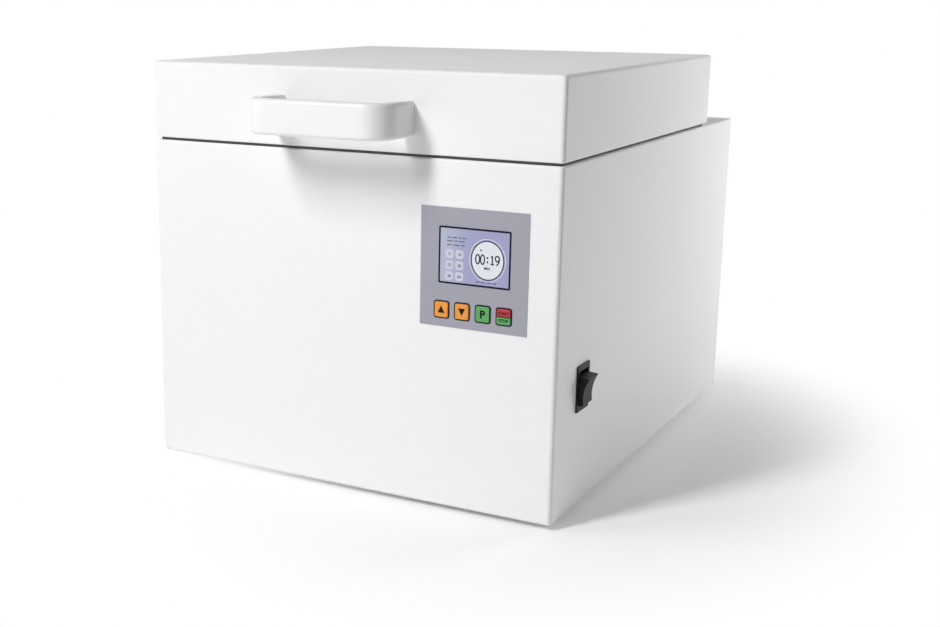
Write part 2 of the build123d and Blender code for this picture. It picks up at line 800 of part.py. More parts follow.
def key_frames():
    """Dark raised surrounds of the keys."""
    frame = RectangleRounded(key_w + 2 * frame_edge, key_h + 2 * frame_edge, key_corner + frame_edge - slip)
    frame -= RectangleRounded(key_w + fit, key_h + fit, key_corner + fit / 2)
    return [drawn_on_front(Pos(x, z) * frame, -frame_t, 0) for x, z in key_places()]


def key_cap(x, z):
    """A cap with a flange behind the wall and a short stem that presses its switch."""
    face = Pos(x, z) * RectangleRounded(key_w, key_h, key_corner)
    flange_y = sheet + fit
    cap = drawn_on_front(face, -key_proud, flange_y)
    cap = chamfer(cap.edges().group_by(Axis.Y)[0], key_bevel)
    wide = Pos(x, z) * Rectangle(key_w + 2 * key_flange, key_h + 2 * key_flange)
    cap += drawn_on_front(wide, flange_y, flange_y + key_flange_t)
    stem = Pos(x, z) * Circle(key_stem_r)
    back = flange_y + key_flange_t
    return cap + drawn_on_front(stem, back, back + key_stem)


def key_switches():
    """Push switches on the board, one behind each key."""
    stem_end = sheet + fit + key_flange_t + key_stem + key_travel + fit
    switches = []
    for x, z in key_places():
        body = drawn_on_front(Pos(x, z) * Rectangle(tact_w, tact_w), board_y - tact_t, board_y)
        body += drawn_on_front(Pos(x, z) * Circle(plunger_r), stem_end, board_y - tact_t)
        switches.append(body)
    return switches


def control_board():
    face = Pos(panel_x, panel_z) * Rectangle(panel_w + 2 * board_edge, panel_h + 2 * board_edge)
    return drawn_on_front(face, board_y, board_y + board_t)


def board_standoffs():
    return [drawn_on_front(Pos(x, z) * RegularPolygon(standoff_r, 6), sheet, board_y)
            for x, z in board_corner_places()]


def lid_sensor():
    """Switch under the deck that tells the timer whether the lid is shut."""
    width, depth, height = sensor_size
    y = (lid_lip + sheet) / 2
    top = body_top - sheet
    return block(-width / 2, width / 2, y - depth / 2, y + depth / 2, top - height, top)


# --- Rocker switch ---

def switch_housing():
    """Snap-in housing: a flat bezel outside the wall and an open box inside it."""
    side = Pos(switch_y, switch_z)
    bezel = drawn_on_side(side * RectangleRounded(bezel_w, bezel_h, bezel_r), switch_x, switch_x + bezel_t)
    outer = Rectangle(housing_w - fit, housing_h - fit)
    body = drawn_on_side(side * outer, switch_x - switch_depth, switch_x)
    cavity = Rectangle(rocker_w + 2 * fit, rocker_room())
    housing = bezel + body
    housing -= drawn_on_side(side * cavity, switch_x - switch_depth + 2 * switch_wall,
                             switch_x + 2 * bezel_t)
    housing -= Pos(rocker_x, switch_y, switch_z) * Rot(90, 0, 0) * Cylinder(switch_pin_r + slip, bezel_w)
    return housing


def rocker_room():
    """Height of the hole that the rocker's tips swing in."""
    turn = radians(rocker_tilt)
    return 2 * (rocker_half * cos(turn) + rocker_rise * sin(turn) + 2 * fit)


def switch_rocker():
    """Hollow-faced rocker, drawn level and tilted so that its upper tip stands out."""
    half = rocker_half
    rise = rocker_rise
    under = rocker_under
    outline = ThreePointArc((rise, -half), (rise - rocker_dip, 0), (rise, half))
    outline += Polyline((rise, half), (0, half - rocker_taper), (-under, half / 2),
                        (-under, -half / 2), (0, rocker_taper - half), (rise, -half))
    face = make_face(outline) - Circle(switch_pin_r + slip)
    rocker = extrude(Plane.XZ * face, rocker_w / 2, both=True)
    tips = rocker.edges().filter_by(Axis.Y).group_by(Axis.X)[-1]
    rocker = fillet(tips, rocker_soft)
    return Pos(rocker_x, switch_y, switch_z) * Rot(0, rocker_tilt, 0) * rocker


def switch_pin():
    return Pos(rocker_x, switch_y, switch_z) * Rot(90, 0, 0) * Cylinder(switch_pin_r, housing_w - fit)


def switch_terminals():
    """Four flat blades at the housing's back."""
    back = switch_x - switch_depth
    blades = []
    for i in (-1, 1):
        for j in (-1, 1):
            y = switch_y + i * rocker_w / 4
            z = switch_z + j * rocker_half / 2
            blades.append(block(back - blade_len, back, y - blade_w / 2, y + blade_w / 2,
                                z - blade_t / 2, z + blade_t / 2))
    return blades


# --- Fan on the rear panel ---

def fan_hole_places():
    reach = fan_hole_pitch / 2
    return [(fan_x + i * reach, fan_z + j * reach) for i in (-1, 1) for j in (-1, 1)]


def fan_frame():
    """Square frame with a round duct, a motor plate on three struts and a fixed axle."""
    back = body_d
    front = back - fan_t
    ring = RectangleRounded(fan_w, fan_w, fan_corner_r) - Circle(fan_bore_r)
    for x, z in fan_hole_places():
        ring -= Pos(x - fan_x, z - fan_z) * Circle(fan_hole_r)
    duct = drawn_on_front(ring, front, back)
    struts = Circle(motor_r)
    reach = fan_bore_r + fit
    for i in range(strut_count):
        turn = Rot(0, 0, 360 / strut_count * i + strut_turn)
        struts += turn * Pos(reach / 2, 0) * Rectangle(reach, strut_w)
    duct += drawn_on_front(struts, front, front + motor_t)
    duct += drawn_on_front(Circle(axle_r), front + motor_t, front + motor_t + hub_h - hub_cap)
    return Pos(fan_x, 0, fan_z) * duct


def fan_blade():
    """One twisted blade, lofted from a steep root to a flatter tip, its root inside the hub."""
    sections = []
    radii = (hub_r - blade_root, (hub_r + blade_r) / 2, blade_r + blade_root)
    for radius, chord, pitch in zip(radii, blade_chords, blade_pitches):
        place = Plane(origin=(radius, 0, 0), x_dir=(0, 1, 0), z_dir=(1, 0, 0))
        sections.append(place * Rot(0, 0, pitch) * blade_section(chord))
    return loft(sections) & Cylinder(blade_r, 2 * hub_h)


def blade_section(chord):
    """A curved blade section of even thickness."""
    camber = chord * blade_camber
    half = chord / 2
    outline = ThreePointArc((-half, 0), (0, camber), (half, 0))
    outline += Line((half, 0), (half, -blade_skin))
    outline += ThreePointArc((half, -blade_skin), (0, camber - blade_skin), (-half, -blade_skin))
    outline += Line((-half, -blade_skin), (-half, 0))
    return make_face(outline)


def fan_rotor():
    """Cup-shaped hub on the fixed axle, with twisted blades round it."""
    cup = Pos(0, 0, hub_h / 2) * Cylinder(hub_r, hub_h)
    bore = hub_h - hub_cap
    cup -= Pos(0, 0, bore / 2) * Cylinder(axle_r + slip, bore + slip)
    blade = Pos(0, 0, hub_h / 2) * fan_blade()
    for i in range(blade_count):
        cup += Rot(0, 0, 360 / blade_count * i) * blade
    low = body_d - fan_t + motor_t + fit
    return Pos(fan_x, low, fan_z) * Rot(-90, 0, 0) * cup


def fan_guard():
    """Wire finger guard: rings on two crossed wires that end in eyes under the screws."""
    rings = []
    for i in range(guard_rings):
        wire = Pos(guard_r - i * guard_pitch, guard_wire_r / 2) * RegularPolygon(guard_wire_r, 6)
        rings.append(revolve(Plane.XZ * wire, Axis.Z))
    guard = rings[0]
    for ring in rings[1:]:
        guard += ring
    reach = fan_hole_pitch / 2 * 2 ** 0.5
    for i in range(4):
        spoke = Pos(reach / 2, 0, -guard_wire_r) * Box(reach, 2 * guard_wire_r, 2 * guard_wire_r)
        leg = Pos(reach, 0, -guard_rise / 2) * Cylinder(screw_head_r, guard_rise)
        guard += Rot(0, 0, 45 + 90 * i) * (spoke + leg)
    for i in range(4):
        guard -= Rot(0, 0, 45 + 90 * i) * Pos(reach, 0, 0) * Cylinder(screw_r + slip, 6 * guard_rise)
    return Pos(fan_x, rear_face + guard_rise, fan_z) * Rot(-90, 0, 0) * guard


def fan_screw_seats():
    return [facing(x, rear_face + guard_rise, z, (0, 1, 0)) for x, z in fan_hole_places()]


def fan_screws():
    """Long screws through the guard's eyes and the panel into the fan's frame."""
    return [screw(seat, guard_rise + panel_t + fan_t - thread_end) for seat in fan_screw_seats()]


# --- Mains inlet with its fuse drawer ---

def inlet_screw_seats():
    return [facing(inlet_x + side * inlet_screw_pitch / 2, rear_face + inlet_flange, inlet_z, (0, 1, 0))
            for side in (-1, 1)]


def inlet_recess():
    """The socket's outline: a rectangle with its two upper corners cut."""
    face = Rectangle(socket_hole_w, socket_hole_h)
    return chamfer(face.vertices().group_by(Axis.Y)[-1], socket_chamfer)


def mains_inlet():
    flange = RectangleRounded(inlet_w, inlet_h, inlet_corner)
    for side in (-1, 1):
        flange -= Pos(side * inlet_screw_pitch / 2, 0) * Circle(inlet_screw_r + slip)
    inlet = drawn_on_front(flange, rear_face, rear_face + inlet_flange)
    inlet += drawn_on_front(Rectangle(inlet_body_w, inlet_body_h), rear_face - inlet_depth, rear_face)
    out = rear_face + inlet_flange
    inlet -= drawn_on_front(Pos(0, socket_dz) * inlet_recess(), out - socket_hole_d, out + 1)
    slot = Pos(0, drawer_dz) * Rectangle(drawer_w + 2 * fit, drawer_h + 2 * fit)
    inlet -= drawn_on_front(slot, out - drawer_d - fit, out + 1)
    return Pos(inlet_x, 0, inlet_z) * inlet


def inlet_pins():
    """Three flat pins standing in the socket."""
    floor = rear_face + inlet_flange - socket_hole_d
    pins = []
    for dx, dz in ((-pin_pitch / 2, line_pin_dz), (pin_pitch / 2, line_pin_dz), (0, earth_pin_dz)):
        x = inlet_x + dx
        z = inlet_z + socket_dz + dz
        pins.append(block(x - pin_w / 2, x + pin_w / 2, floor, floor + pin_len, z - pin_h / 2,
                          z + pin_h / 2))
    return pins


def fuse_drawer():
    """Drawer with a fuse bay, which slides out below the socket by its finger lip."""
    out = rear_face + inlet_flange
    half = drawer_w / 2
    low = inlet_z + drawer_dz - drawer_h / 2
    top = low + drawer_h
    bay = half - drawer_side
    drawer = block(inlet_x - half, inlet_x + half, out - drawer_d, out, low, top)
    drawer -= block(inlet_x - bay, inlet_x + bay, out - drawer_front - drawer_travel,
                    out - drawer_front, low + drawer_floor, top + fit)
    return drawer + block(inlet_x - half / 2, inlet_x + half / 2, out, out + drawer_lip,
                          top - drawer_side, top)


def inlet_screws():
    return [screw(seat, inlet_flange + panel_t + 2 * thread_end, hinge_head_r, screw_head, inlet_screw_r)
            for seat in inlet_screw_seats()]


# --- Electrics on the floor plate ---

def ballasts():
    """Six lamp ballasts, one for each pair of lamps."""
    width, depth, height = ballast_size
    middle = body_low + 2 * sheet + height / 2
    reach = body_w / 2 - ballast_in - width / 2
    case = Box(width, depth, height)
    case = chamfer(case.edges().filter_by(Axis.X).group_by(Axis.Z)[-1], case_bevel)
    return [Pos(i * reach, chamber_y + j * ballast_pitch / 2, middle) * case
            for i in (-1, 0, 1) for j in (-1, 1)]


def power_supply():
    """Boxed supply for the timer and the fan, behind the chamber."""
    width, depth, height = supply_size
    low = body_low + 2 * sheet
    y = (chamber_y + tub_half + body_d) / 2
    case = Pos(supply_x, y, low + height / 2) * Box(width, depth, height)
    return chamfer(case.edges().filter_by(Axis.Y).group_by(Axis.Z)[-1], case_bevel)


def terminal_block():
    """Row of terminals with a wire slot at each."""
    width, depth, height = terminal_size
    low = body_low + 2 * sheet
    y = chamber_y + tub_half + tub_t + 2 * depth
    row = Pos(terminal_x, y, low + height / 2) * Box(width, depth, height)
    row = chamfer(row.edges().filter_by(Axis.X).group_by(Axis.Z)[-1], case_bevel)
    pitch = width / terminal_count
    for i in range(terminal_count):
        x = terminal_x + (i - (terminal_count - 1) / 2) * pitch
        row -= Pos(x, y, low + height) * Box(*terminal_slot)
    return row


def write(name, piece):
    """Moves a piece, or a group of like pieces, to the footprint's middle and saves it."""
    solids = piece if isinstance(piece, list) else [piece]
    moved = [Pos(-footprint_x, -footprint_y, 0) * solid for solid in solids]
    found = [solid for item in moved for solid in item.solids()]
    whole = found[0] if len(found) == 1 else Compound(children=found)
    export_step(whole, f"parts/{name}.step")


def main():
    os.makedirs("parts", exist_ok=True)
    lamps = chamber_lamp_places()
    lid_lamps = lid_lamp_places()
    write("body_shell", body_shell())
    write("base_plate", base_plate())
    write("rear_panel", rear_panel())
    write("rear_screws", rear_screws())
    write("base_screws", base_screws())
    write("rubber_feet", rubber_feet())
    write("reflector_tub", reflector_tub())
    write("tub_screws", tub_screws())
    write("rim_gasket", rim_gasket())
    write("glass_plate", glass_plate())
    write("glass_posts", glass_posts())
    write("chamber_lamps", at_each(lamps, twin_tube()))
    write("chamber_lamp_bases", at_each(lamps, lamp_base()))
    write("chamber_lamp_sockets", at_each(lamps, lamp_socket()))
    write("chamber_lamp_clips", at_each(lamps, lamp_clip()))
    write("lid_shell", lid_shell())
    write("lid_reflector", lid_reflector())
    write("lid_screws", lid_screws())
    write("lid_lamps", at_each(lid_lamps, twin_tube()))
    write("lid_lamp_bases", at_each(lid_lamps, lamp_base()))
    write("lid_lamp_sockets", at_each(lid_lamps, lamp_socket()))
    write("lid_lamp_clips", at_each(lid_lamps, lamp_clip()))
    write("lid_handle", lid_handle())
    write("handle_screws", handle_screws())
    write("lid_magnet", lid_magnet())
    write("hinge_body_leaves", hinge_leaves("body"))
    write("hinge_lid_leaves", hinge_leaves("lid"))
    write("hinge_pins", hinge_pins())
    write("hinge_body_screws", hinge_screws("body"))
    write("hinge_lid_screws", hinge_screws("lid"))
    write("lid_stops", lid_stops())
    write("panel_overlay", panel_overlay())
    write("display_window", display_window())
    write("display_module", display_module())
    write("key_frames", key_frames())
    for name, place in zip(("up", "down", "program", "start_stop"), key_places()):
        write(f"key_{name}", key_cap(*place))
    write("key_switches", key_switches())
    write("control_board", control_board())
    write("board_standoffs", board_standoffs())
    write("lid_sensor", lid_sensor())
    write("switch_housing", switch_housing())
    write("switch_rocker", switch_rocker())
    write("switch_pin", switch_pin())
    write("switch_terminals", switch_terminals())
    write("fan_frame", fan_frame())
    write("fan_rotor", fan_rotor())
    write("fan_guard", fan_guard())
    write("fan_screws", fan_screws())
    write("mains_inlet", mains_inlet())
    write("inlet_pins", inlet_pins())
    write("fuse_drawer", fuse_drawer())
    write("inlet_screws", inlet_screws())
    write("ballasts", ballasts())
    write("power_supply", power_supply())
    write("terminal_block", terminal_block())


main()
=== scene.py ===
import json
from math import cos, pi, radians, sin

import bmesh
import bpy
from mathutils import Matrix, Vector


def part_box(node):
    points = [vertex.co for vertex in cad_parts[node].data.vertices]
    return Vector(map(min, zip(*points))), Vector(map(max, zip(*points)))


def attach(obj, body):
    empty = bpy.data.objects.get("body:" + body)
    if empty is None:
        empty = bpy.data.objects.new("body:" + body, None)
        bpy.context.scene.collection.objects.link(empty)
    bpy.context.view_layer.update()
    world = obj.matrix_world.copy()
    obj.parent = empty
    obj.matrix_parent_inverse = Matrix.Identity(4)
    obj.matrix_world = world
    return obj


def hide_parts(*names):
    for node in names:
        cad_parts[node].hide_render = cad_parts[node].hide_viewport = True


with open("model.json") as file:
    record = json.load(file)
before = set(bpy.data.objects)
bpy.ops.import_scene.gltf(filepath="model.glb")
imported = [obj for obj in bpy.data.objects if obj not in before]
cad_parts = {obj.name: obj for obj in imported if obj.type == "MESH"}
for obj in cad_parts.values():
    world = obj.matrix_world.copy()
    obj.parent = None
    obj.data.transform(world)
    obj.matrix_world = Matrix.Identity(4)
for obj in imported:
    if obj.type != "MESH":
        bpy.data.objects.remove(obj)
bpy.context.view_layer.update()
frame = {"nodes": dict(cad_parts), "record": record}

bl_info = {
    "name": "Light Curing Box",
    "version": (1, 0, 0),
    "blender": (4, 5, 0),
    "location": "View3D > Sidebar > Curing Box",
    "description": "Finishes, printed panel, keys, screws, lamps and finger guard "
                   "of a bench-top light curing box",
    "category": "Object",
}

MM = 0.001
# Points nearer to each other than this are one point.
WELD = 0.001 * MM


# --- Colours and nodes ---

def linear(code):
    """An sRGB hex colour as linear red, green, blue and full opacity."""
    values = [int(code[i:i + 2], 16) / 255 for i in (1, 3, 5)]
    return [v / 12.92 if v <= 0.04045 else ((v + 0.055) / 1.055) ** 2.4 for v in values] + [1.0]


def add(tree, kind, inputs=None, **settings):
    """Adds a node, gives it its settings, and fills or links its inputs."""
    node = tree.nodes.new(kind)
    for name, value in settings.items():
        setattr(node, name, value)
    for key, value in (inputs or {}).items():
        if isinstance(value, bpy.types.NodeSocket):
            tree.links.new(value, node.inputs[key])
        else:
            node.inputs[key].default_value = value
    return node


def opaque(colour):
    """A colour's red, green and blue with full opacity."""
    return list(colour)[:3] + [1.0]


def new_finish(name):
    """An empty material, its tree and its object coordinates, in metres."""
    made = bpy.data.materials.new(name)
    made.use_nodes = True
    made.node_tree.nodes.clear()
    where = add(made.node_tree, "ShaderNodeTexCoord").outputs["Object"]
    return made, made.node_tree, where


def show(made, shader):
    """Ends a material's tree with a shader."""
    add(made.node_tree, "ShaderNodeOutputMaterial", {"Surface": shader.outputs[0]})
    return made


def close_finish(made, inputs):
    """Ends a material's tree with a Principled shader that has the given inputs."""
    return show(made, add(made.node_tree, "ShaderNodeBsdfPrincipled", inputs))


def grains(tree, where, size, detail=2.0, stretch=(1, 1, 1)):
    """Noise from 0 to 1 whose lumps are about the given size in metres."""
    placed = add(tree, "ShaderNodeMapping", {"Vector": where, "Scale": stretch})
    noise = add(tree, "ShaderNodeTexNoise", {
        "Vector": placed.outputs[0], "Scale": 1 / size, "Detail": detail})
    return noise.outputs["Fac"]


def spread(tree, value, low, high):
    """A noise value, which mostly stays within 0.3 to 0.7, moved into the range from low to high."""
    ranged = add(tree, "ShaderNodeMapRange", {"Value": value, "From Min": 0.3, "From Max": 0.7,
                                              "To Min": low, "To Max": high},
                 interpolation_type="SMOOTHSTEP")
    return ranged.outputs[0]


def tinted(tree, value, first, second):
    """A colour that runs from first to second as the value goes from 0 to 1."""
    mixed = add(tree, "ShaderNodeMix", {"Factor": value, "A": opaque(first), "B": opaque(second)},
                data_type="RGBA")
    return mixed.outputs["Result"]


def shaded(colour, share):
    """A colour made darker by a share."""
    return [c * share for c in list(colour)[:3]]


def bumped(tree, height, depth, strength=1.0):
    """The normal of a relief with the given depth in metres."""
    bump = add(tree, "ShaderNodeBump", {"Height": height, "Distance": depth, "Strength": strength})
    return bump.outputs[0]


def worked_out(tree, operation, *values):
    """A number worked out inside a tree."""
    return add(tree, "ShaderNodeMath", dict(enumerate(values)), operation=operation).outputs[0]


# --- Finishes ---

def clouded(name, colour, share, size, gloss, relief=None, detail=1.0, sheen=0.5):
    """Colour and roughness that drift over patches of the given size, the darker patches at a share of the
    colour. A relief has a size, a depth and a strength."""
    made, tree, where = new_finish(name)
    drift = grains(tree, where, size, detail)
    inputs = {"Base Color": tinted(tree, drift, shaded(colour, share), colour),
              "Roughness": spread(tree, drift, *gloss), "Specular IOR Level": sheen}
    if relief:
        relief_size, depth, strength = relief
        inputs["Normal"] = bumped(tree, grains(tree, where, relief_size), depth, strength)
    return close_finish(made, inputs)


def powder_coat(look):
    """Semi-gloss white powder coat on folded steel: a faint orange peel, 3 mm wide, keeps large flat faces
    from looking like plastic, and the gloss drifts a little over a hand's width."""
    gloss = (look.paint_gloss - 0.02, look.paint_gloss + 0.02)
    return clouded("white_powder_coated_steel", look.paint, 0.985, 90 * MM, gloss,
                   (3 * MM, 0.012 * MM, 0.5), sheen=look.paint_sheen)


def moulded_abs(look):
    """White ABS, moulded and polished: a little warmer and glossier than the painted steel."""
    made, tree, where = new_finish("white_moulded_abs")
    flow = grains(tree, where, 25 * MM, 1.0)
    return close_finish(made, {
        "Base Color": tinted(tree, flow, shaded(look.handle, 0.995), look.handle), "Roughness": 0.3,
        "Normal": bumped(tree, grains(tree, where, 1.2 * MM), 0.004 * MM, 0.4)})


def printed_film(look):
    """Polyester film with a screen-printed grey-lilac back and a fine matt texture on its face. The real
    grain is about 0.1 mm; it is drawn at 0.5 mm so that it shows."""
    return clouded("screen_printed_polyester_film", look.film, 0.975, 18 * MM, (0.42, 0.5),
                   (0.5 * MM, 0.006 * MM, 0.5))


def lit_display(look):
    """Back-lit liquid crystal behind clear plastic: paler towards its left edge, and a little brighter than
    its print."""
    made, tree, where = new_finish("back_lit_liquid_crystal")
    low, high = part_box("display_window")
    across = add(tree, "ShaderNodeSeparateXYZ", {"Vector": where}).outputs["X"]
    ramp = add(tree, "ShaderNodeMapRange", {
        "Value": across, "From Min": low.x, "From Max": (low.x + high.x) / 2},
        interpolation_type="SMOOTHSTEP")
    colour = tinted(tree, ramp.outputs[0], look.screen_pale, look.screen)
    return close_finish(made, {
        "Base Color": colour, "Emission Color": colour, "Emission Strength": 0.12, "Roughness": 0.22,
        "Normal": bumped(tree, grains(tree, where, 6 * MM), 0.002 * MM, 0.3)})


def printed_ink(name, colour, gloss=0.4, glow=0.0):
    """Opaque ink or lit segment, with a slightly uneven tone."""
    made, tree, where = new_finish(name)
    tone = tinted(tree, grains(tree, where, 1.5 * MM), shaded(colour, 0.94), colour)
    return close_finish(made, {
        "Base Color": tone, "Emission Color": tone, "Emission Strength": glow, "Roughness": gloss,
        "Specular IOR Level": 0.15})


def moulded_cap(name, colour):
    """Gloss polycarbonate key cap: moulded, with a soft sheen and faint flow marks."""
    return clouded(name, colour, 0.93, 4 * MM, (0.28, 0.36), (0.6 * MM, 0.003 * MM, 0.5))


def black_nylon(look):
    """Black glass-filled nylon, moulded against a fine spark-eroded texture: dull, with softly lit edges.
    The real grain is about 0.15 mm; it is drawn at 0.4 mm so that it shows."""
    made, tree, where = new_finish("black_moulded_nylon")
    grain = grains(tree, where, 0.4 * MM, 3.0)
    return close_finish(made, {
        "Base Color": tinted(tree, grain, shaded(look.black, 0.8), look.black),
        "Roughness": spread(tree, grain, 0.38, 0.5), "Specular IOR Level": 0.2,
        "Normal": bumped(tree, grain, 0.02 * MM, 0.35)})


def foam_rubber(look):
    """Closed-cell foam and moulded rubber: dark grey and matt, with cells of about half a millimetre."""
    made, tree, where = new_finish("black_cellular_rubber")
    cells = add(tree, "ShaderNodeTexVoronoi", {"Vector": where, "Scale": 1 / (0.6 * MM)}).outputs["Distance"]
    return close_finish(made, {
        "Base Color": tinted(tree, cells, shaded(look.rubber, 0.75), look.rubber),
        "Roughness": 0.82, "Specular IOR Level": 0.35, "Normal": bumped(tree, cells, 0.05 * MM, 0.4)})


def metal(name, colour, low, high, size, stretch=(1, 1, 1), depth=0.003):
    """Bare or plated metal whose roughness varies over patches of the given size. The depth of its relief
    is in millimetres."""
    made, tree, where = new_finish(name)
    patches = grains(tree, where, size, 3.0, stretch)
    return close_finish(made, {
        "Base Color": tinted(tree, patches, shaded(colour, 0.9), colour), "Metallic": 1.0,
        "Roughness": spread(tree, patches, low, high),
        "Normal": bumped(tree, patches, depth * MM, 0.4)})


def rolled_mirror(look):
    """Mirror aluminium sheet: bright, with faint drawn-out roll marks."""
    return metal("rolled_mirror_aluminium", look.mirror, 0.1, 0.2, 2.5 * MM, (0.06, 1, 1), 0.0015)


def zinc_plate(look):
    """Zinc-plated steel sheet: pale grey, satin, clouded over about a centimetre."""
    return metal("zinc_plated_steel", look.zinc, 0.32, 0.5, 9 * MM)


def bright_zinc(look):
    """Bright zinc on headed and rolled screws: small clean highlights."""
    return metal("bright_zinc_screws", look.screw, 0.2, 0.34, 1.5 * MM)


def bright_wire(look):
    """Chrome-plated drawn wire: glossy, with fine drawing lines."""
    return metal("chromed_drawn_wire", look.wire, 0.12, 0.24, 1 * MM)


def plated_brass(look):
    """Nickel-plated stamped brass contact pins, with some warmth showing through."""
    return metal("nickel_plated_brass", look.brass, 0.22, 0.36, 2 * MM)


def plated_magnet(look):
    """Sintered magnet under nickel: slightly uneven, soft shine."""
    return metal("nickel_plated_magnet", look.wire, 0.3, 0.45, 1.5 * MM)


def phosphor_glass(look):
    """Glass tube coated white inside: bright matt powder seen through a glossy skin."""
    made, tree, where = new_finish("phosphor_coated_glass")
    powder = grains(tree, where, 2 * MM, 3.0)
    return close_finish(made, {
        "Base Color": tinted(tree, powder, shaded(look.lamp, 0.95), look.lamp),
        "Roughness": 0.6, "Coat Weight": 1.0, "Coat Roughness": 0.05, "Coat IOR": 1.5})


def lamp_moulding(look):
    """Pale heat-proof polyester of lamp bases, sockets and terminals: satin, slightly creamy."""
    return clouded("moulded_white_polyester", look.moulding, 0.95, 8 * MM, (0.4, 0.52),
                   (0.8 * MM, 0.006 * MM, 0.4), 2.0)


def float_glass(look):
    """Clear float glass: colourless through its face and green along its ground edges."""
    made, tree, where = new_finish("clear_float_glass")
    return close_finish(made, {
        "Base Color": opaque(look.glass), "Transmission Weight": 1.0, "IOR": 1.52,
        "Roughness": spread(tree, grains(tree, where, 40 * MM), 0.0, 0.03)})


def solder_mask(look):
    """Green solder mask over glass-fibre board: semi-gloss, with the weave just showing."""
    made, tree, where = new_finish("green_solder_mask")
    wave = add(tree, "ShaderNodeTexWave", {"Vector": where, "Scale": 1 / (1.2 * MM), "Distortion": 0.5})
    weave = wave.outputs["Fac"]
    return close_finish(made, {
        "Base Color": tinted(tree, weave, shaded(look.board, 0.9), look.board),
        "Roughness": 0.36, "Normal": bumped(tree, weave, 0.01 * MM, 0.2)})


def painted_case(look):
    """Grey-white stoved enamel on pressed ballast cases: satin, lightly clouded."""
    return clouded("stoved_enamel_case", look.case, 0.94, 12 * MM, (0.4, 0.5), detail=2.0)


def panel_finishes(look):
    """The inks, the lit segments and the green half of the last key, by name."""
    return {
        "window_border": printed_ink("navy_border_ink", look.border, 0.3),
        "screen_white": printed_ink("lit_white_segment", look.screen_white, 0.3, 0.12),
        "screen_tile": printed_ink("lit_pale_tile", look.screen_tile, 0.3, 0.12),
        "screen_dark": printed_ink("dark_liquid_crystal", look.screen_dark, 0.35),
        "screen_grey": printed_ink("grey_liquid_crystal", look.screen_grey, 0.35),
        "symbol": printed_ink("dark_symbol_ink", look.symbol, 0.4),
        "cap_green": moulded_cap("green_moulded_cap", look.key_green),
    }


def finishes(look):
    """The finish of each of the record's material slots."""
    return {
        "white_paint": powder_coat(look), "zinc_steel": zinc_plate(look), "bright_screws": bright_zinc(look),
        "mirror_aluminium": rolled_mirror(look), "lamp_glass": phosphor_glass(look),
        "lamp_plastic": lamp_moulding(look), "clip_plastic": lamp_moulding(look),
        "clear_glass": float_glass(look), "black_rubber": foam_rubber(look),
        "handle_plastic": moulded_abs(look), "panel_film": printed_film(look),
        "display_window": lit_display(look), "display_metal": zinc_plate(look),
        "black_plastic": black_nylon(look), "orange_key": moulded_cap("orange_moulded_cap", look.key_orange),
        "green_key": moulded_cap("green_key_cap", look.key_green),
        "red_key": moulded_cap("red_moulded_cap", look.key_red), "board_green": solder_mask(look),
        "plated_wire": bright_wire(look), "brass": plated_brass(look), "magnet": plated_magnet(look),
        "ballast_case": painted_case(look), "terminal_plastic": lamp_moulding(look),
    }


def finish_of(slot):
    """The material that the finishes operator made for a slot."""
    return bpy.data.materials[bpy.context.scene["curing_finishes"][slot]]


# --- Meshes ---

def front_middle(low, high):
    """The middle of a box in the front view, in x and z."""
    return (low.x + high.x) / 2, (low.z + high.z) / 2


def beside(middle, x, z):
    """A point some millimetres from a middle, in the front view."""
    return middle[0] + x * MM, middle[1] + z * MM


def push_back(work, faces, depth):
    """Gives flat faces a depth towards the rear, which closes them to a body."""
    pushed = bmesh.ops.extrude_face_region(work, geom=faces)["geom"]
    corners = [part for part in pushed if isinstance(part, bmesh.types.BMVert)]
    bmesh.ops.translate(work, vec=(0, depth, 0), verts=corners)


def prism(outline, front, depth):
    """A closed plate in the front view: its outline in x and z, from y = front back by depth."""
    work = bmesh.new()
    face = work.faces.new([work.verts.new((x, front, z)) for x, z in outline])
    push_back(work, [face], depth)
    bmesh.ops.recalc_face_normals(work, faces=work.faces)
    return work


def ribbon(points, width, front, depth, closed=False):
    """A line of even width in the front view, given a depth, through points in x and z."""
    path = [Vector((x, 0, z)) for x, z in points]
    count = len(path)
    left, right = [], []
    for i, here in enumerate(path):
        before = path[i - 1] if closed or i else here
        after = path[(i + 1) % count] if closed or i + 1 < count else here
        along = (after - before).normalized()
        side = Vector((-along.z, 0, along.x)) * width / 2
        left.append(here + side)
        right.append(here - side)
    work = bmesh.new()
    for y in (front, front + depth):
        for row in (left, right):
            for point in row:
                work.verts.new((point.x, y, point.z))
    work.verts.ensure_lookup_table()
    v = work.verts
    for i in range(count if closed else count - 1):
        j = (i + 1) % count
        rows = [(0, count), (count, 3 * count), (3 * count, 2 * count), (2 * count, 0)]
        for a, b in rows:
            work.faces.new((v[a + i], v[a + j], v[b + j], v[b + i]))
    if not closed:
        for i in (0, count - 1):
            work.faces.new((v[i], v[count + i], v[3 * count + i], v[2 * count + i]))
    bmesh.ops.recalc_face_normals(work, faces=work.faces)
    return work


def oval(middle, half_x, half_z, count=64, start=0.0, turn=2 * pi):
    """Points in x and z along an oval or a part of one."""
    steps = count if turn == 2 * pi else count - 1
    return [(middle[0] + half_x * cos(start + turn * i / steps),
             middle[1] + half_z * sin(start + turn * i / steps)) for i in range(count)]


def rounded(middle, width, height, radius, steps=5):
    """Points in x and z round a rectangle with round corners."""
    points = []
    for i, (sx, sz) in enumerate(((1, 1), (-1, 1), (-1, -1), (1, -1))):
        centre = (middle[0] + sx * (width / 2 - radius), middle[1] + sz * (height / 2 - radius))
        points += oval(centre, radius, radius, steps, i * pi / 2, pi / 2)
    return points


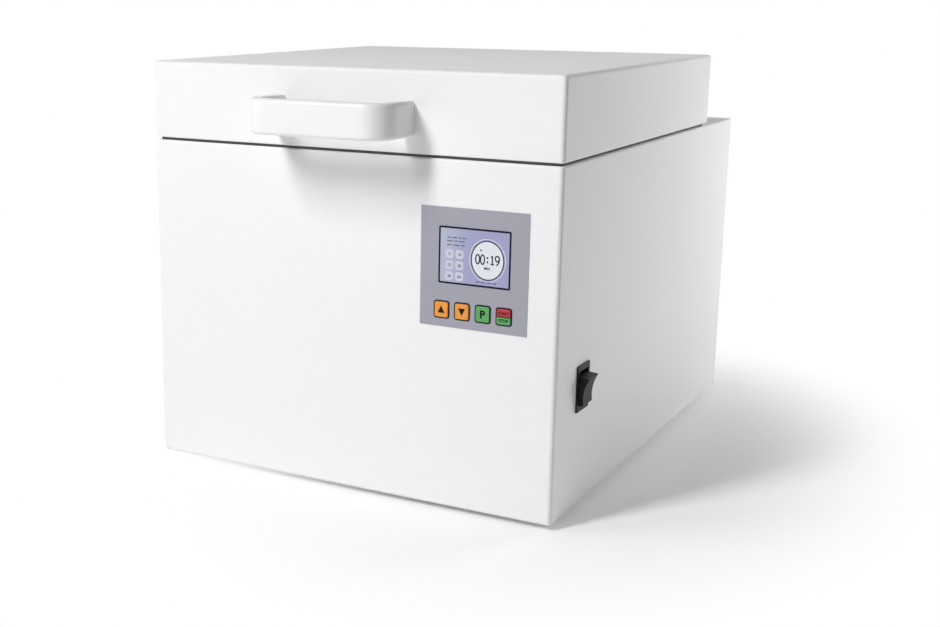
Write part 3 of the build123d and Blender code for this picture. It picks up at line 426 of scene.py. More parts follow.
def lettering(text, height, middle, front, depth, weight=0.0):
    """Raised text in the front view, centred on a point in x and z, capitals as high as stated."""
    curve = bpy.data.curves.new("lettering", "FONT")
    curve.body = text
    curve.offset = weight
    curve.align_x = "CENTER"
    curve.resolution_u = 3
    carrier = bpy.data.objects.new("lettering", curve)
    bpy.context.scene.collection.objects.link(carrier)
    bpy.context.view_layer.update()
    mesh = bpy.data.meshes.new_from_object(carrier.evaluated_get(bpy.context.evaluated_depsgraph_get()))
    bpy.data.objects.remove(carrier)
    work = bmesh.new()
    work.from_mesh(mesh)
    bpy.data.meshes.remove(mesh)
    low = min(v.co.y for v in work.verts)
    high = max(v.co.y for v in work.verts)
    scale = height / (high - low)
    for v in work.verts:
        v.co = Vector((middle[0] + v.co.x * scale, front, middle[1] + (v.co.y - low) * scale - height / 2))
    push_back(work, list(work.faces), depth)
    bmesh.ops.remove_doubles(work, verts=work.verts, dist=WELD)
    bmesh.ops.recalc_face_normals(work, faces=work.faces)
    return work


def turned(profile, sides):
    """A closed body turned about z from a profile of radius and height whose two ends are on the axis."""
    work = bmesh.new()
    rings = []
    for radius, height in profile:
        if radius == 0:
            rings.append([work.verts.new((0, 0, height))])
            continue
        angles = [2 * pi * i / sides for i in range(sides)]
        rings.append([work.verts.new((radius * cos(a), radius * sin(a), height)) for a in angles])
    for low, high in zip(rings, rings[1:]):
        for i in range(sides):
            j = (i + 1) % sides
            corners = [low[i % len(low)], low[j % len(low)], high[j % len(high)], high[i % len(high)]]
            work.faces.new(dict.fromkeys(corners))
    bmesh.ops.recalc_face_normals(work, faces=work.faces)
    return work


def joined(name, works, crease=30.0):
    """One mesh from several bodies, smooth but for creases over the given angle in degrees."""
    mesh = bpy.data.meshes.new(name)
    whole = bmesh.new()
    for work in works:
        work.to_mesh(mesh)
        whole.from_mesh(mesh)
        work.free()
    whole.to_mesh(mesh)
    whole.free()
    mesh.shade_smooth()
    mesh.set_sharp_from_angle(angle=radians(crease))
    return mesh


def piece(name, mesh, finish, body, stands_for=()):
    """A finished piece at the origin that rides on a body and stands for its nodes."""
    made = bpy.data.objects.new(name, mesh)
    bpy.context.scene.collection.objects.link(made)
    mesh.materials.clear()
    mesh.materials.append(finish_of(finish))
    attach(made, body)
    if stands_for:
        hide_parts(*stands_for)


def islands(node):
    """The lowest and highest corner of each separate solid in a CAD node."""
    work = bmesh.new()
    work.from_mesh(frame["nodes"][node].data)
    bmesh.ops.remove_doubles(work, verts=work.verts, dist=WELD)
    left = set(work.verts)
    found = []
    while left:
        ready = [left.pop()]
        group = []
        while ready:
            vert = ready.pop()
            group.append(vert.co.copy())
            for edge in vert.link_edges:
                other = edge.other_vert(vert)
                if other in left:
                    left.remove(other)
                    ready.append(other)
        found.append((Vector([min(p[i] for p in group) for i in range(3)]),
                      Vector([max(p[i] for p in group) for i in range(3)])))
    work.free()
    return sorted(found, key=lambda pair: tuple(round(c, 5) for c in pair[0]))


# --- Geometry node trees ---

def new_tree(name, inputs):
    """A geometry node tree with named inputs and one geometry output."""
    tree = bpy.data.node_groups.new(name, "GeometryNodeTree")
    tree.interface.new_socket("Geometry", in_out="OUTPUT", socket_type="NodeSocketGeometry")
    tree.interface.new_socket("Geometry", in_out="INPUT", socket_type="NodeSocketGeometry")
    for label, kind in inputs.items():
        tree.interface.new_socket(label, in_out="INPUT", socket_type=kind)
    entry = add(tree, "NodeGroupInput")
    return tree, entry.outputs


def close_tree(tree, geometry, finish):
    """Ends a tree with real geometry in its finish."""
    real = add(tree, "GeometryNodeRealizeInstances", {"Geometry": geometry})
    painted = add(tree, "GeometryNodeSetMaterial", {"Geometry": real.outputs[0], "Material": finish})
    add(tree, "NodeGroupOutput", {"Geometry": painted.outputs[0]})
    return tree


def baked(name, tree, values, seeds=None, crease=30.0):
    """The plain mesh that a tree makes from its input values, starting from an optional mesh of points."""
    start = seeds or bpy.data.meshes.new(name + "_start")
    carrier = bpy.data.objects.new(name + "_carrier", start)
    bpy.context.scene.collection.objects.link(carrier)
    modifier = carrier.modifiers.new("Build", "NODES")
    modifier.node_group = tree
    for socket in tree.interface.items_tree:
        if socket.item_type == "SOCKET" and socket.in_out == "INPUT" and socket.name in values:
            modifier[socket.identifier] = values[socket.name]
    bpy.context.view_layer.update()
    made = carrier.evaluated_get(bpy.context.evaluated_depsgraph_get())
    mesh = bpy.data.meshes.new_from_object(made)
    mesh.name = name
    carrier.modifiers.clear()
    bpy.data.objects.remove(carrier)
    mesh.shade_smooth()
    mesh.set_sharp_from_angle(angle=radians(crease))
    return mesh


def point_cloud(name, points, vectors=None):
    """A mesh of loose points, with a direction attribute for each name given."""
    mesh = bpy.data.meshes.new(name)
    mesh.from_pydata([tuple(p) for p in points], [], [])
    for label, directions in (vectors or {}).items():
        attribute = mesh.attributes.new(label, "FLOAT_VECTOR", "POINT")
        attribute.data.foreach_set("vector", [c for d in directions for c in d])
    return mesh


def blank(name, work, crease):
    """A helper object that a tree copies, removed after the bake."""
    made = bpy.data.objects.new(name, joined(name, [work], crease))
    bpy.context.scene.collection.objects.link(made)
    return made


def moved(tree, geometry, place=(0, 0, 0), turn=(0, 0, 0)):
    """A geometry placed and turned inside a tree."""
    node = add(tree, "GeometryNodeTransform", {"Geometry": geometry, "Translation": place, "Rotation": turn})
    return node.outputs[0]


def point(tree, x=0.0, y=0.0, z=0.0):
    """A point or vector inside a tree."""
    return add(tree, "ShaderNodeCombineXYZ", {"X": x, "Y": y, "Z": z}).outputs[0]


def together(tree, parts):
    """Several geometries as one inside a tree."""
    whole = add(tree, "GeometryNodeJoinGeometry")
    for part in parts:
        tree.links.new(part, whole.inputs[0])
    return whole.outputs[0]


def shape_of(tree, helper):
    """The geometry of a helper object inside a tree."""
    node = add(tree, "GeometryNodeObjectInfo", {"Object": helper}, transform_space="ORIGINAL")
    return node.outputs["Geometry"]


def circle(tree, radius, corners):
    """A circle inside a tree, as a curve with the given number of corners."""
    return add(tree, "GeometryNodeCurvePrimitiveCircle", {"Resolution": corners, "Radius": radius}).outputs[0]


def four_ways(tree, geometry):
    """A geometry four times, turned about z to the corners of a square."""
    return [moved(tree, geometry, turn=(0, 0, pi / 4 + i * pi / 2)) for i in range(4)]


def screw_tree(finish):
    """Copies a turned screw to each point, with its cross recess cut and a seeded twist."""
    tree, given = new_tree("cross_recess_screws", {
        "Blank": "NodeSocketObject", "Facing": "NodeSocketVector", "Recess": "NodeSocketVector",
        "Recess place": "NodeSocketVector", "Seed": "NodeSocketInt"})
    cut = add(tree, "GeometryNodeMeshBoolean", {"Mesh 1": shape_of(tree, given["Blank"])},
              operation="DIFFERENCE")
    for turn in (0, pi / 2):
        cube = add(tree, "GeometryNodeMeshCube", {"Size": given["Recess"]})
        bar = moved(tree, cube.outputs[0], given["Recess place"], (0, 0, turn))
        tree.links.new(bar, cut.inputs["Mesh 2"])
    upright = add(tree, "FunctionNodeAlignRotationToVector", {"Vector": given["Facing"]}, axis="Z")
    twist = add(tree, "FunctionNodeRandomValue", {2: 0.0, 3: 2 * pi, "Seed": given["Seed"]},
                data_type="FLOAT")
    own = add(tree, "FunctionNodeEulerToRotation", {"Euler": point(tree, z=twist.outputs[1])})
    twisted = add(tree, "FunctionNodeRotateRotation", {
        "Rotation": upright.outputs[0], "Rotate By": own.outputs[0]}, rotation_space="LOCAL")
    copies = add(tree, "GeometryNodeInstanceOnPoints", {
        "Points": given["Geometry"], "Instance": cut.outputs[0], "Rotation": twisted.outputs[0]})
    return close_tree(tree, copies.outputs[0], finish)


def lamp_tree(finish):
    """Twin tubes joined by a bridge, copied to each point along its two direction attributes."""
    tree, given = new_tree("twin_tube_lamps", {
        "Tube": "NodeSocketObject", "Bridge": "NodeSocketObject", "Half pitch": "NodeSocketFloat",
        "Bridge place": "NodeSocketVector"})
    tube = shape_of(tree, given["Tube"])
    offsets = [worked_out(tree, "MULTIPLY", given["Half pitch"], side) for side in (-1.0, 1.0)]
    tubes = [moved(tree, tube, point(tree, y=offset)) for offset in offsets]
    bridge = moved(tree, shape_of(tree, given["Bridge"]), given["Bridge place"])
    along, inward = [add(tree, "GeometryNodeInputNamedAttribute", {"Name": name}, data_type="FLOAT_VECTOR")
                     for name in ("along", "inward")]
    first = add(tree, "FunctionNodeAlignRotationToVector", {"Vector": along.outputs[0]}, axis="X")
    second = add(tree, "FunctionNodeAlignRotationToVector", {
        "Rotation": first.outputs[0], "Vector": inward.outputs[0]}, axis="Z", pivot_axis="X")
    copies = add(tree, "GeometryNodeInstanceOnPoints", {
        "Points": given["Geometry"], "Instance": together(tree, tubes + [bridge]),
        "Rotation": second.outputs[0]})
    return close_tree(tree, copies.outputs[0], finish)


def guard_tree(finish):
    """Finger guard: wire rings at an even pitch on spokes that end in eyes at the four corners."""
    tree, given = new_tree("wire_finger_guard", {
        "Rings": "NodeSocketInt", "Inner radius": "NodeSocketFloat", "Ring pitch": "NodeSocketFloat",
        "Wire radius": "NodeSocketFloat", "Reach": "NodeSocketFloat", "Eye radius": "NodeSocketFloat",
        "Drop": "NodeSocketFloat", "Middle": "NodeSocketVector"})
    # Rings: one unit circle, copied to a row of points and scaled by its place in the row.
    row = add(tree, "GeometryNodeMeshLine", {"Count": given["Rings"], "Offset": (0, 0, 0)})
    index = add(tree, "GeometryNodeInputIndex").outputs[0]
    radius = worked_out(tree, "MULTIPLY_ADD", index, given["Ring pitch"], given["Inner radius"])
    rings = add(tree, "GeometryNodeInstanceOnPoints", {
        "Points": row.outputs[0], "Instance": circle(tree, 1.0, corners=72), "Scale": radius})
    # Spokes lie behind the rings by one wire and run out to the eyes.
    lower = worked_out(tree, "MULTIPLY", given["Wire radius"], -2.0)
    shorter = worked_out(tree, "SUBTRACT", given["Reach"], given["Eye radius"])
    spoke = add(tree, "GeometryNodeCurvePrimitiveLine", {
        "Start": point(tree, z=lower), "End": point(tree, x=shorter, z=lower)})
    eye = moved(tree, circle(tree, given["Eye radius"], corners=20), point(tree, x=given["Reach"], z=lower))
    arm = together(tree, [spoke.outputs[0], eye])
    lines = together(tree, [rings.outputs[0]] + four_ways(tree, arm))
    real = add(tree, "GeometryNodeRealizeInstances", {"Geometry": lines})
    wires = add(tree, "GeometryNodeCurveToMesh", {
        "Curve": real.outputs[0], "Profile Curve": circle(tree, given["Wire radius"], corners=10),
        "Fill Caps": True})
    # Spacers carry the eyes off the panel.
    below = worked_out(tree, "MULTIPLY_ADD", given["Drop"], -0.5, lower)
    tube = add(tree, "GeometryNodeMeshCylinder", {
        "Vertices": 20, "Radius": given["Eye radius"], "Depth": given["Drop"]})
    spacer = moved(tree, tube.outputs["Mesh"], point(tree, x=given["Reach"], z=below))
    whole = together(tree, [wires.outputs[0]] + four_ways(tree, spacer))
    # The guard is built about z and then faces the rear.
    return close_tree(tree, moved(tree, whole, given["Middle"], (-pi / 2, 0, 0)), finish)


# --- Settings ---

def colour(label, text, code):
    """A colour setting."""
    return bpy.props.FloatVectorProperty(name=label, description=text, subtype="COLOR", size=3, min=0.0,
                                         max=1.0, default=linear(code)[:3])


def length(label, text, millimetres):
    """A length setting."""
    return bpy.props.FloatProperty(name=label, description=text, unit="LENGTH", min=0.0, precision=5,
                                   default=millimetres * MM)


class CuringBoxLook(bpy.types.PropertyGroup):
    """Colours of the box's finishes."""
    paint: colour("Paint", "White powder coat of body, lid and rear panel", "#F3F3F4")
    paint_gloss: bpy.props.FloatProperty(name="Paint roughness", description="Roughness of the powder coat",
                                         default=0.38, min=0.05, max=1.0)
    paint_sheen: bpy.props.FloatProperty(name="Paint sheen", description="Mirror share of the powder coat",
                                         default=0.12, min=0.0, max=1.0)
    handle: colour("Handle", "White moulded handle", "#F2F2F2")
    film: colour("Film", "Grey-lilac print of the panel film", "#9F9FAB")
    screen: colour("Screen", "Lit display, right side", "#9697BB")
    screen_pale: colour("Pale screen", "Lit display, left edge", "#A9AEC1")
    screen_white: colour("White segments", "Dial face and its outer ring", "#DADCE4")
    screen_tile: colour("Tiles", "Time tiles on the display", "#C3C5D6")
    screen_dark: colour("Dark segments", "Figures and the dial's ring", "#1A1D30")
    screen_grey: colour("Grey segments", "Small lines on the display", "#4E5174")
    border: colour("Window border", "Border printed round the display", "#0D0E20")
    key_orange: colour("Arrow keys", "Caps of the two arrow keys", "#EC9830")
    key_green: colour("Program key", "Cap of the P key, lower half of the start and stop key", "#57A35C")
    key_red: colour("Start and stop key", "Upper half of the start and stop key", "#BE2437")
    symbol: colour("Symbols", "Ink of the keys' symbols", "#0C0806")
    black: colour("Black plastic", "Rocker, key frames, fan and inlet", "#19191A")
    rubber: colour("Rubber", "Feet, stops and seam foam", "#66666A")
    mirror: colour("Mirror sheet", "Chamber and lid reflectors", "#E6E8EA")
    zinc: colour("Zinc plate", "Hinges, posts and floor plate", "#C3C6C9")
    screw: colour("Screws", "Bright zinc screws", "#D2D4D6")
    wire: colour("Wire", "Chromed wire of the finger guard", "#D8D9DA")
    brass: colour("Contacts", "Plated contact pins", "#D2C7A8")
    lamp: colour("Lamp tubes", "Phosphor-coated glass", "#EEF1F6")
    moulding: colour("White mouldings", "Lamp bases, sockets, clips and terminals", "#E9E8E2")
    glass: colour("Glass plate", "Clear plate over the floor lamps", "#E8F2EE")
    board: colour("Board", "Solder mask of the control board", "#1C6B3C")
    case: colour("Electrical cases", "Ballasts and power supply", "#DDDDDA")


class CuringBoxSizes(bpy.types.PropertyGroup):
    """Sizes of the pieces that are made here."""
    border_width: length("Window border", "Width of the dark border round the display", 1.5)
    window_corner: length("Window corner", "Corner radius of the display window", 0.6)
    picture_depth: length("Picture depth", "Lit picture behind the window's face", 0.15)
    print_step: length("Print step", "Thickness of one printed or lit layer", 0.03)
    key_corner: length("Key corner", "Corner radius of the key caps", 1.5)
    key_soften: length("Key edge", "Rounded front edge of the key caps", 0.45)
    recess_width: length("Recess width", "Width of one bar of a screw's cross recess", 0.75)
    recess_depth: length("Recess depth", "Depth of a screw's cross recess", 0.9)
    wire_radius: length("Guard wire", "Radius of the finger guard's wire", 0.9)
    guard_pitch: length("Guard pitch", "Distance between two rings of the finger guard", 7.5)
    tube_pitch: length("Tube pitch", "Distance between the two tubes of a lamp", 20.5)


# --- Operators ---

class CURING_OT_finishes(bpy.types.Operator):
    """Makes the finishes and paints every CAD node that stays"""
    bl_idname = "curing.finishes"
    bl_label = "Paint the CAD nodes"

    def execute(self, context):
        look = context.scene.curing_look
        made = {**finishes(look), **panel_finishes(look)}
        context.scene["curing_finishes"] = {slot: finish.name for slot, finish in made.items()}
        for part in frame["record"]["subparts"]:
            target = frame["nodes"][part["node"]]
            target.data.materials.clear()
            target.data.materials.append(made[part["material_slot"]])
        return {"FINISHED"}


class CURING_OT_display(bpy.types.Operator):
    """Makes the display window: its border, the lit picture, the dial with its time and the time tiles"""
    bl_idname = "curing.display"
    bl_label = "Make the display"

    # All in millimetres. The dial, the tiles and the dashes are placed from the window's middle.
    dial_middle = (12.1, -1.6)
    dial_half = (14.8, 16.5)
    dial_line = 0.9
    halo_gap = 1.7
    halo_line = 0.5
    # These two are placed from the dial's middle.
    unit_place = (-0.3, -6.8)
    unit_height = 2.3
    spot_place = (-6.1, 8.4)
    spot_radius = 0.8
    figure_size = (3.6, 8.0)
    figure_line = 1.15
    figure_gap = 0.9
    figure_rise = 0.6
    colon_dot = (1.4, 1.7)
    colon_corner = 0.3
    tile_labels = ("5", "10", "15", "20", "30", "60")
    first_tile = (-23.2, 1.2)
    tile_pitch = (9.4, 9.6)
    tile_size = (7.4, 7.6)
    tile_corner = 2.0
    label_height = 2.6
    # Left end, height, and the widths of the dashes in each row.
    dash_rows = ((-25.4, 15.4, (3.2, 4.6, 2.8, 3.0)), (-25.4, 12.4, (5.0, 3.4, 5.4)),
                 (-25.4, 9.0, (4.0, 6.2, 3.4)), (2.0, -20.6, (3.4, 4.0, 4.6, 3.0)))
    dash_height = 0.8
    dash_gap = 1.2

    def execute(self, context):
        sizes = context.scene.curing_sizes
        low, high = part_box("display_window")
        middle = front_middle(low, high)
        edge = sizes.border_width
        face = low.y + sizes.picture_depth
        outline = rounded(middle, high.x - low.x - edge, high.z - low.z - edge, sizes.window_corner)
        border = ribbon(outline, edge, low.y, high.y - low.y, True)
        self.shown("window_border", [border], "window_border", ["display_window"])
        self.shown("window_picture", [prism(outline, face, high.y - face)], "display_window")
        self.dial(beside(middle, *self.dial_middle), face, sizes.print_step)
        self.tiles(middle, face, sizes.print_step)
        return {"FINISHED"}

    def shown(self, name, works, finish, stands_for=()):
        """One piece of the window."""
        piece(name, joined(name, works), finish, "base", stands_for)

    def dial(self, middle, face, step):
        """The white disc with its halo, and on it the dark ring, the time, its unit and a spot."""
        half_x, half_z = [half * MM for half in self.dial_half]
        gap = self.halo_gap * MM
        disc = prism(oval(middle, half_x, half_z), face - step, step)
        halo = ribbon(oval(middle, half_x + gap, half_z + gap), self.halo_line * MM, face - step, step, True)
        self.shown("dial_face", [disc, halo], "screen_white")
        front = face - 2 * step
        ring = ribbon(oval(middle, half_x, half_z), self.dial_line * MM, front, step, True)
        radius = self.spot_radius * MM
        spot = prism(oval(beside(middle, *self.spot_place), radius, radius, count=16), front, step)
        unit = lettering("MIN", self.unit_height * MM, beside(middle, *self.unit_place), front, step,
                         weight=0.03)
        self.shown("dial_figures", [ring, spot, unit] + self.figures(middle, front, step), "screen_dark")

    def figures(self, dial, front, step):
        """The time 00:19 in even strokes, placed by shares of a figure's width and height. Strokes that
        cross lie a hair apart in depth."""
        wide, tall = [size * MM for size in self.figure_size]
        line = self.figure_line * MM
        pitch = wide + self.figure_gap * MM
        x, base = beside(dial, 0, self.figure_rise)
        low = base - tall / 2
        made = [ribbon(oval((x + column * pitch, base), wide / 2, tall / 2, count=28), line, front, step, True)
                for column in (-2, -1)]
        dot_width, dot_height = [size * MM for size in self.colon_dot]
        for side in (-1, 1):
            dot = rounded((x, base + side * 0.22 * tall), dot_width, dot_height, self.colon_corner * MM)
            made.append(prism(dot, front, step))
        # The 1 is a stem, a flag and a foot.
        x += pitch
        made.append(ribbon([(x, low), (x, low + tall)], line, front, step))
        flag = [(x - 0.36 * wide, base + 0.3 * tall), (x - 0.1 * wide, base + 0.44 * tall)]
        made.append(ribbon(flag, 0.8 * line, front - 0.02 * step, step))
        foot = [(x - 0.4 * wide, low + line / 2), (x + 0.4 * wide, low + line / 2)]
        made.append(ribbon(foot, line, front - 0.04 * step, step))
        # The 9 is a loop and a tail.
        x += pitch
        high = base + 0.22 * tall
        made.append(ribbon(oval((x, high), wide / 2, 0.28 * tall, count=24), line, front, step, True))
        tail = oval((x - wide / 2, high), wide, 0.72 * tall, count=14, turn=-0.42 * pi)
        made.append(ribbon(tail, line, front - 0.03 * step, step))
        return made

    def tiles(self, middle, face, step):
        """The time tiles with their numbers, and the rows of small text, whose words are dashes."""
        width, height = [size * MM for size in self.tile_size]
        tiles, dashes, numbers = [], [], []
        for i, label in enumerate(self.tile_labels):
            row, column = divmod(i, 2)
            place = beside(middle, self.first_tile[0] + self.tile_pitch[0] * column,
                           self.first_tile[1] - self.tile_pitch[1] * row)
            tiles.append(prism(rounded(place, width, height, self.tile_corner * MM), face - step, step))
            numbers.append(lettering(label, self.label_height * MM, place, face - 2 * step, step,
                                     weight=0.02))
        for x, z, dash_widths in self.dash_rows:
            for dash in dash_widths:
                ends = [beside(middle, x, z), beside(middle, x + dash, z)]
                dashes.append(ribbon(ends, self.dash_height * MM, face - step, step))
                x += dash + self.dash_gap
        self.shown("time_tiles", tiles, "screen_tile")
        self.shown("screen_lines", dashes + numbers, "screen_grey")


class CURING_OT_keys(bpy.types.Operator):
    """Makes the four key caps with their signs, and the dark surrounds round them"""
    bl_idname = "curing.keys"
    bl_label = "Make the keys"

    # Each key and its cap's slot. The last one's lower half is green.
    key_slots = (("key_up", "orange_key"), ("key_down", "orange_key"), ("key_program", "green_key"),
                 ("key_start_stop", "red_key"))
    cap_depth = 3.2 * MM
    # The flange stands past the cap all round, behind the wall.
    flange = 1.8 * MM
    flange_depth = 1.6 * MM
    flange_corner = 1 * MM
    stem_radius = 2 * MM
    frame_line = 1.1 * MM
    frame_soften = 0.2 * MM
    letter_height = 7.2 * MM
    word_height = 2.7 * MM
    # How far the two words stand from the key's middle, as a share of its height.
    word_offset = 0.235
    weight = 0.035
    rule = 0.9 * MM
    # In millimetres from the key's middle: the arrow's tip, its base and its half width.
    arrow = (3.5, 2.9, 3.3)

    def execute(self, context):
        sizes = context.scene.curing_sizes
        for name, slot in self.key_slots:
            self.cap(sizes, name, slot)
        self.frames(sizes)
        return {"FINISHED"}

    def cap(self, sizes, name, slot):
        """A cap with softened edges, on the flange and stem that lie behind the wall."""
        low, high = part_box(name)
        middle = front_middle(low, high)
        full_width, full_height = high.x - low.x, high.z - low.z
        width, height = full_width - 2 * self.flange, full_height - 2 * self.flange
        outline = rounded(middle, width, height, sizes.key_corner)
        if name == "key_start_stop":
            upper, lower = [self.face(sizes, self.half(outline, middle, width, side), low.y, middle[1])
                            for side in (1, -1)]
            piece(name + "_field", joined(name + "_field", [lower], crease=40), "cap_green", name)
            works = [upper]
        else:
            works = [self.face(sizes, outline, low.y)]
        behind = low.y + self.cap_depth
        ledge = rounded(middle, full_width, full_height, self.flange_corner)
        works.append(prism(ledge, behind, self.flange_depth))
        behind += self.flange_depth
        stem = oval(middle, self.stem_radius, self.stem_radius, count=20)
        works.append(prism(stem, behind, high.y - behind))
        piece(name + "_cap", joined(name + "_cap", works, crease=40), slot, name, [name])
        signs = joined(name + "_sign", self.signs(sizes, name, middle, low.y, width, height))
        piece(name + "_sign", signs, "symbol", name)

    def half(self, outline, middle, width, side):
        """The part of a cap's outline above or below its middle, closed along the middle."""
        x, z = middle
        around = [corner for corner in outline if (corner[1] - z) * side > 0]
        return around + [(x - side * width / 2, z), (x + side * width / 2, z)]

    def face(self, sizes, outline, front, seam=None):
        """The body of a cap, its front edges softened but for one that lies along a seam."""
        work = prism(outline, front, self.cap_depth)
        rim = [e for e in work.edges if all(abs(v.co.y - front) < WELD for v in e.verts)
               and not (seam and all(abs(v.co.z - seam) < WELD for v in e.verts))]
        bmesh.ops.bevel(work, geom=rim, offset=sizes.key_soften, segments=4, profile=0.5, affect="EDGES")
        return work

    def signs(self, sizes, name, middle, front, width, height):
        """The print on a cap's face: a letter, two words with a rule between them, or an arrow."""
        step = sizes.print_step
        front -= step
        x, z = middle
        if name == "key_program":
            return [lettering("P", self.letter_height, middle, front, step, self.weight)]
        if name == "key_start_stop":
            half_line = width / 2 - sizes.key_soften
            rule = ribbon([(x - half_line, z), (x + half_line, z)], self.rule, front, step)
            words = [lettering(word, self.word_height, (x, z + side * height * self.word_offset), front, step,
                               self.weight) for word, side in (("START", 1), ("STOP", -1))]
            return [rule] + words
        up = 1 if name == "key_up" else -1
        tip, base, half = self.arrow
        corners = [beside(middle, 0, up * tip), beside(middle, -half, -up * base),
                   beside(middle, half, -up * base)]
        return [prism(corners, front, step)]

    def frames(self, sizes):
        """Rounded dark surrounds, one closed ring for each key."""
        works = []
        line = self.frame_line
        for low, high in islands("key_frames"):
            path = rounded(front_middle(low, high), high.x - low.x - line, high.z - low.z - line,
                           sizes.key_corner + line / 2, steps=6)
            ring = ribbon(path, line, low.y, high.y - low.y, True)
            rim = [e for e in ring.edges if all(abs(v.co.y - low.y) < WELD for v in e.verts)
                   and len({f.normal.y < -0.9 for f in e.link_faces}) == 2]
            bmesh.ops.bevel(ring, geom=rim, offset=self.frame_soften, segments=2, profile=0.5, affect="EDGES")
            works.append(ring)
        piece("key_surrounds", joined("key_surrounds", works), "black_plastic", "base",
              ["key_frames"])


class CURING_OT_screws(bpy.types.Operator):
    """Makes every visible screw with a cross recess, at the places of the CAD screws"""
    bl_idname = "curing.screws"
    bl_label = "Make the screws"

    # The CAD group, the body it rides on and the way its heads face.
    groups = (("rear_screws", "base", (0, 1, 0)), ("base_screws", "base", (0, 0, -1)),
              ("fan_screws", "base", (0, 1, 0)), ("inlet_screws", "base", (0, 1, 0)),
              ("tub_screws", "base", (0, 0, 1)), ("hinge_body_screws", "base", (0, 0, 1)),
              ("lid_screws", "lid", (0, 0, -1)), ("hinge_lid_screws", "lid", (0, 1, 0)),
              ("handle_screws", "lid", (0, 1, 0)))
    head_rise = 1.2 * MM
    # Heads with a larger radius than this rise higher.
    large_head = 4.5 * MM
    large_rise = 2.5 * MM
    # The shank's radius and the length of a recess bar, as shares of the head's radius.
    shank_share = 0.55
    bar_share = 1.15
    # The deepest recess, as a share of the head's rise.
    deepest_share = 0.75

    def execute(self, context):
        sizes = context.scene.curing_sizes
        tree = screw_tree(finish_of("bright_screws"))
        for seed, (node, body, facing) in enumerate(self.groups):
            found = islands(node)
            low, high = found[0]
            axis = max(range(3), key=lambda i: abs(facing[i]))
            radius = (high - low)[(axis + 1) % 3] / 2
            total = (high - low)[axis]
            rise = self.head_rise if radius < self.large_head else self.large_rise
            source = blank("screw_blank", self.screw(radius, rise, total - rise), crease=40)
            seats = []
            for low, high in found:
                seat = (low + high) / 2
                seat[axis] = high[axis] - rise if facing[axis] > 0 else low[axis] + rise
                seats.append(seat)
            depth = min(sizes.recess_depth, self.deepest_share * rise)
            recess = (radius * self.bar_share, sizes.recess_width, 2 * depth)
            values = {"Blank": source, "Facing": facing, "Seed": seed, "Recess": recess,
                      "Recess place": (0, 0, rise)}
            mesh = baked(node + "_set", tree, values, point_cloud(node + "_points", seats))
            bpy.data.objects.remove(source)
            piece(node + "_set", mesh, "bright_screws", body, [node])
        return {"FINISHED"}

    def screw(self, radius, rise, shank):
        """A pan head on a plain shank, about z, with its seat at z = 0."""
        thin = radius * self.shank_share
        # A power below 1 makes the dome flatter on top and steeper at its edge.
        dome = [(radius * cos(a) ** 0.6, rise * sin(a)) for a in (radians(d) for d in range(10, 90, 16))]
        profile = [(0, -shank), (thin * 0.7, -shank), (thin, -shank + thin * 0.4), (thin, 0), (radius, 0),
                   (radius, rise * 0.15)] + dome + [(0, rise)]
        return turned(profile, sides=28)


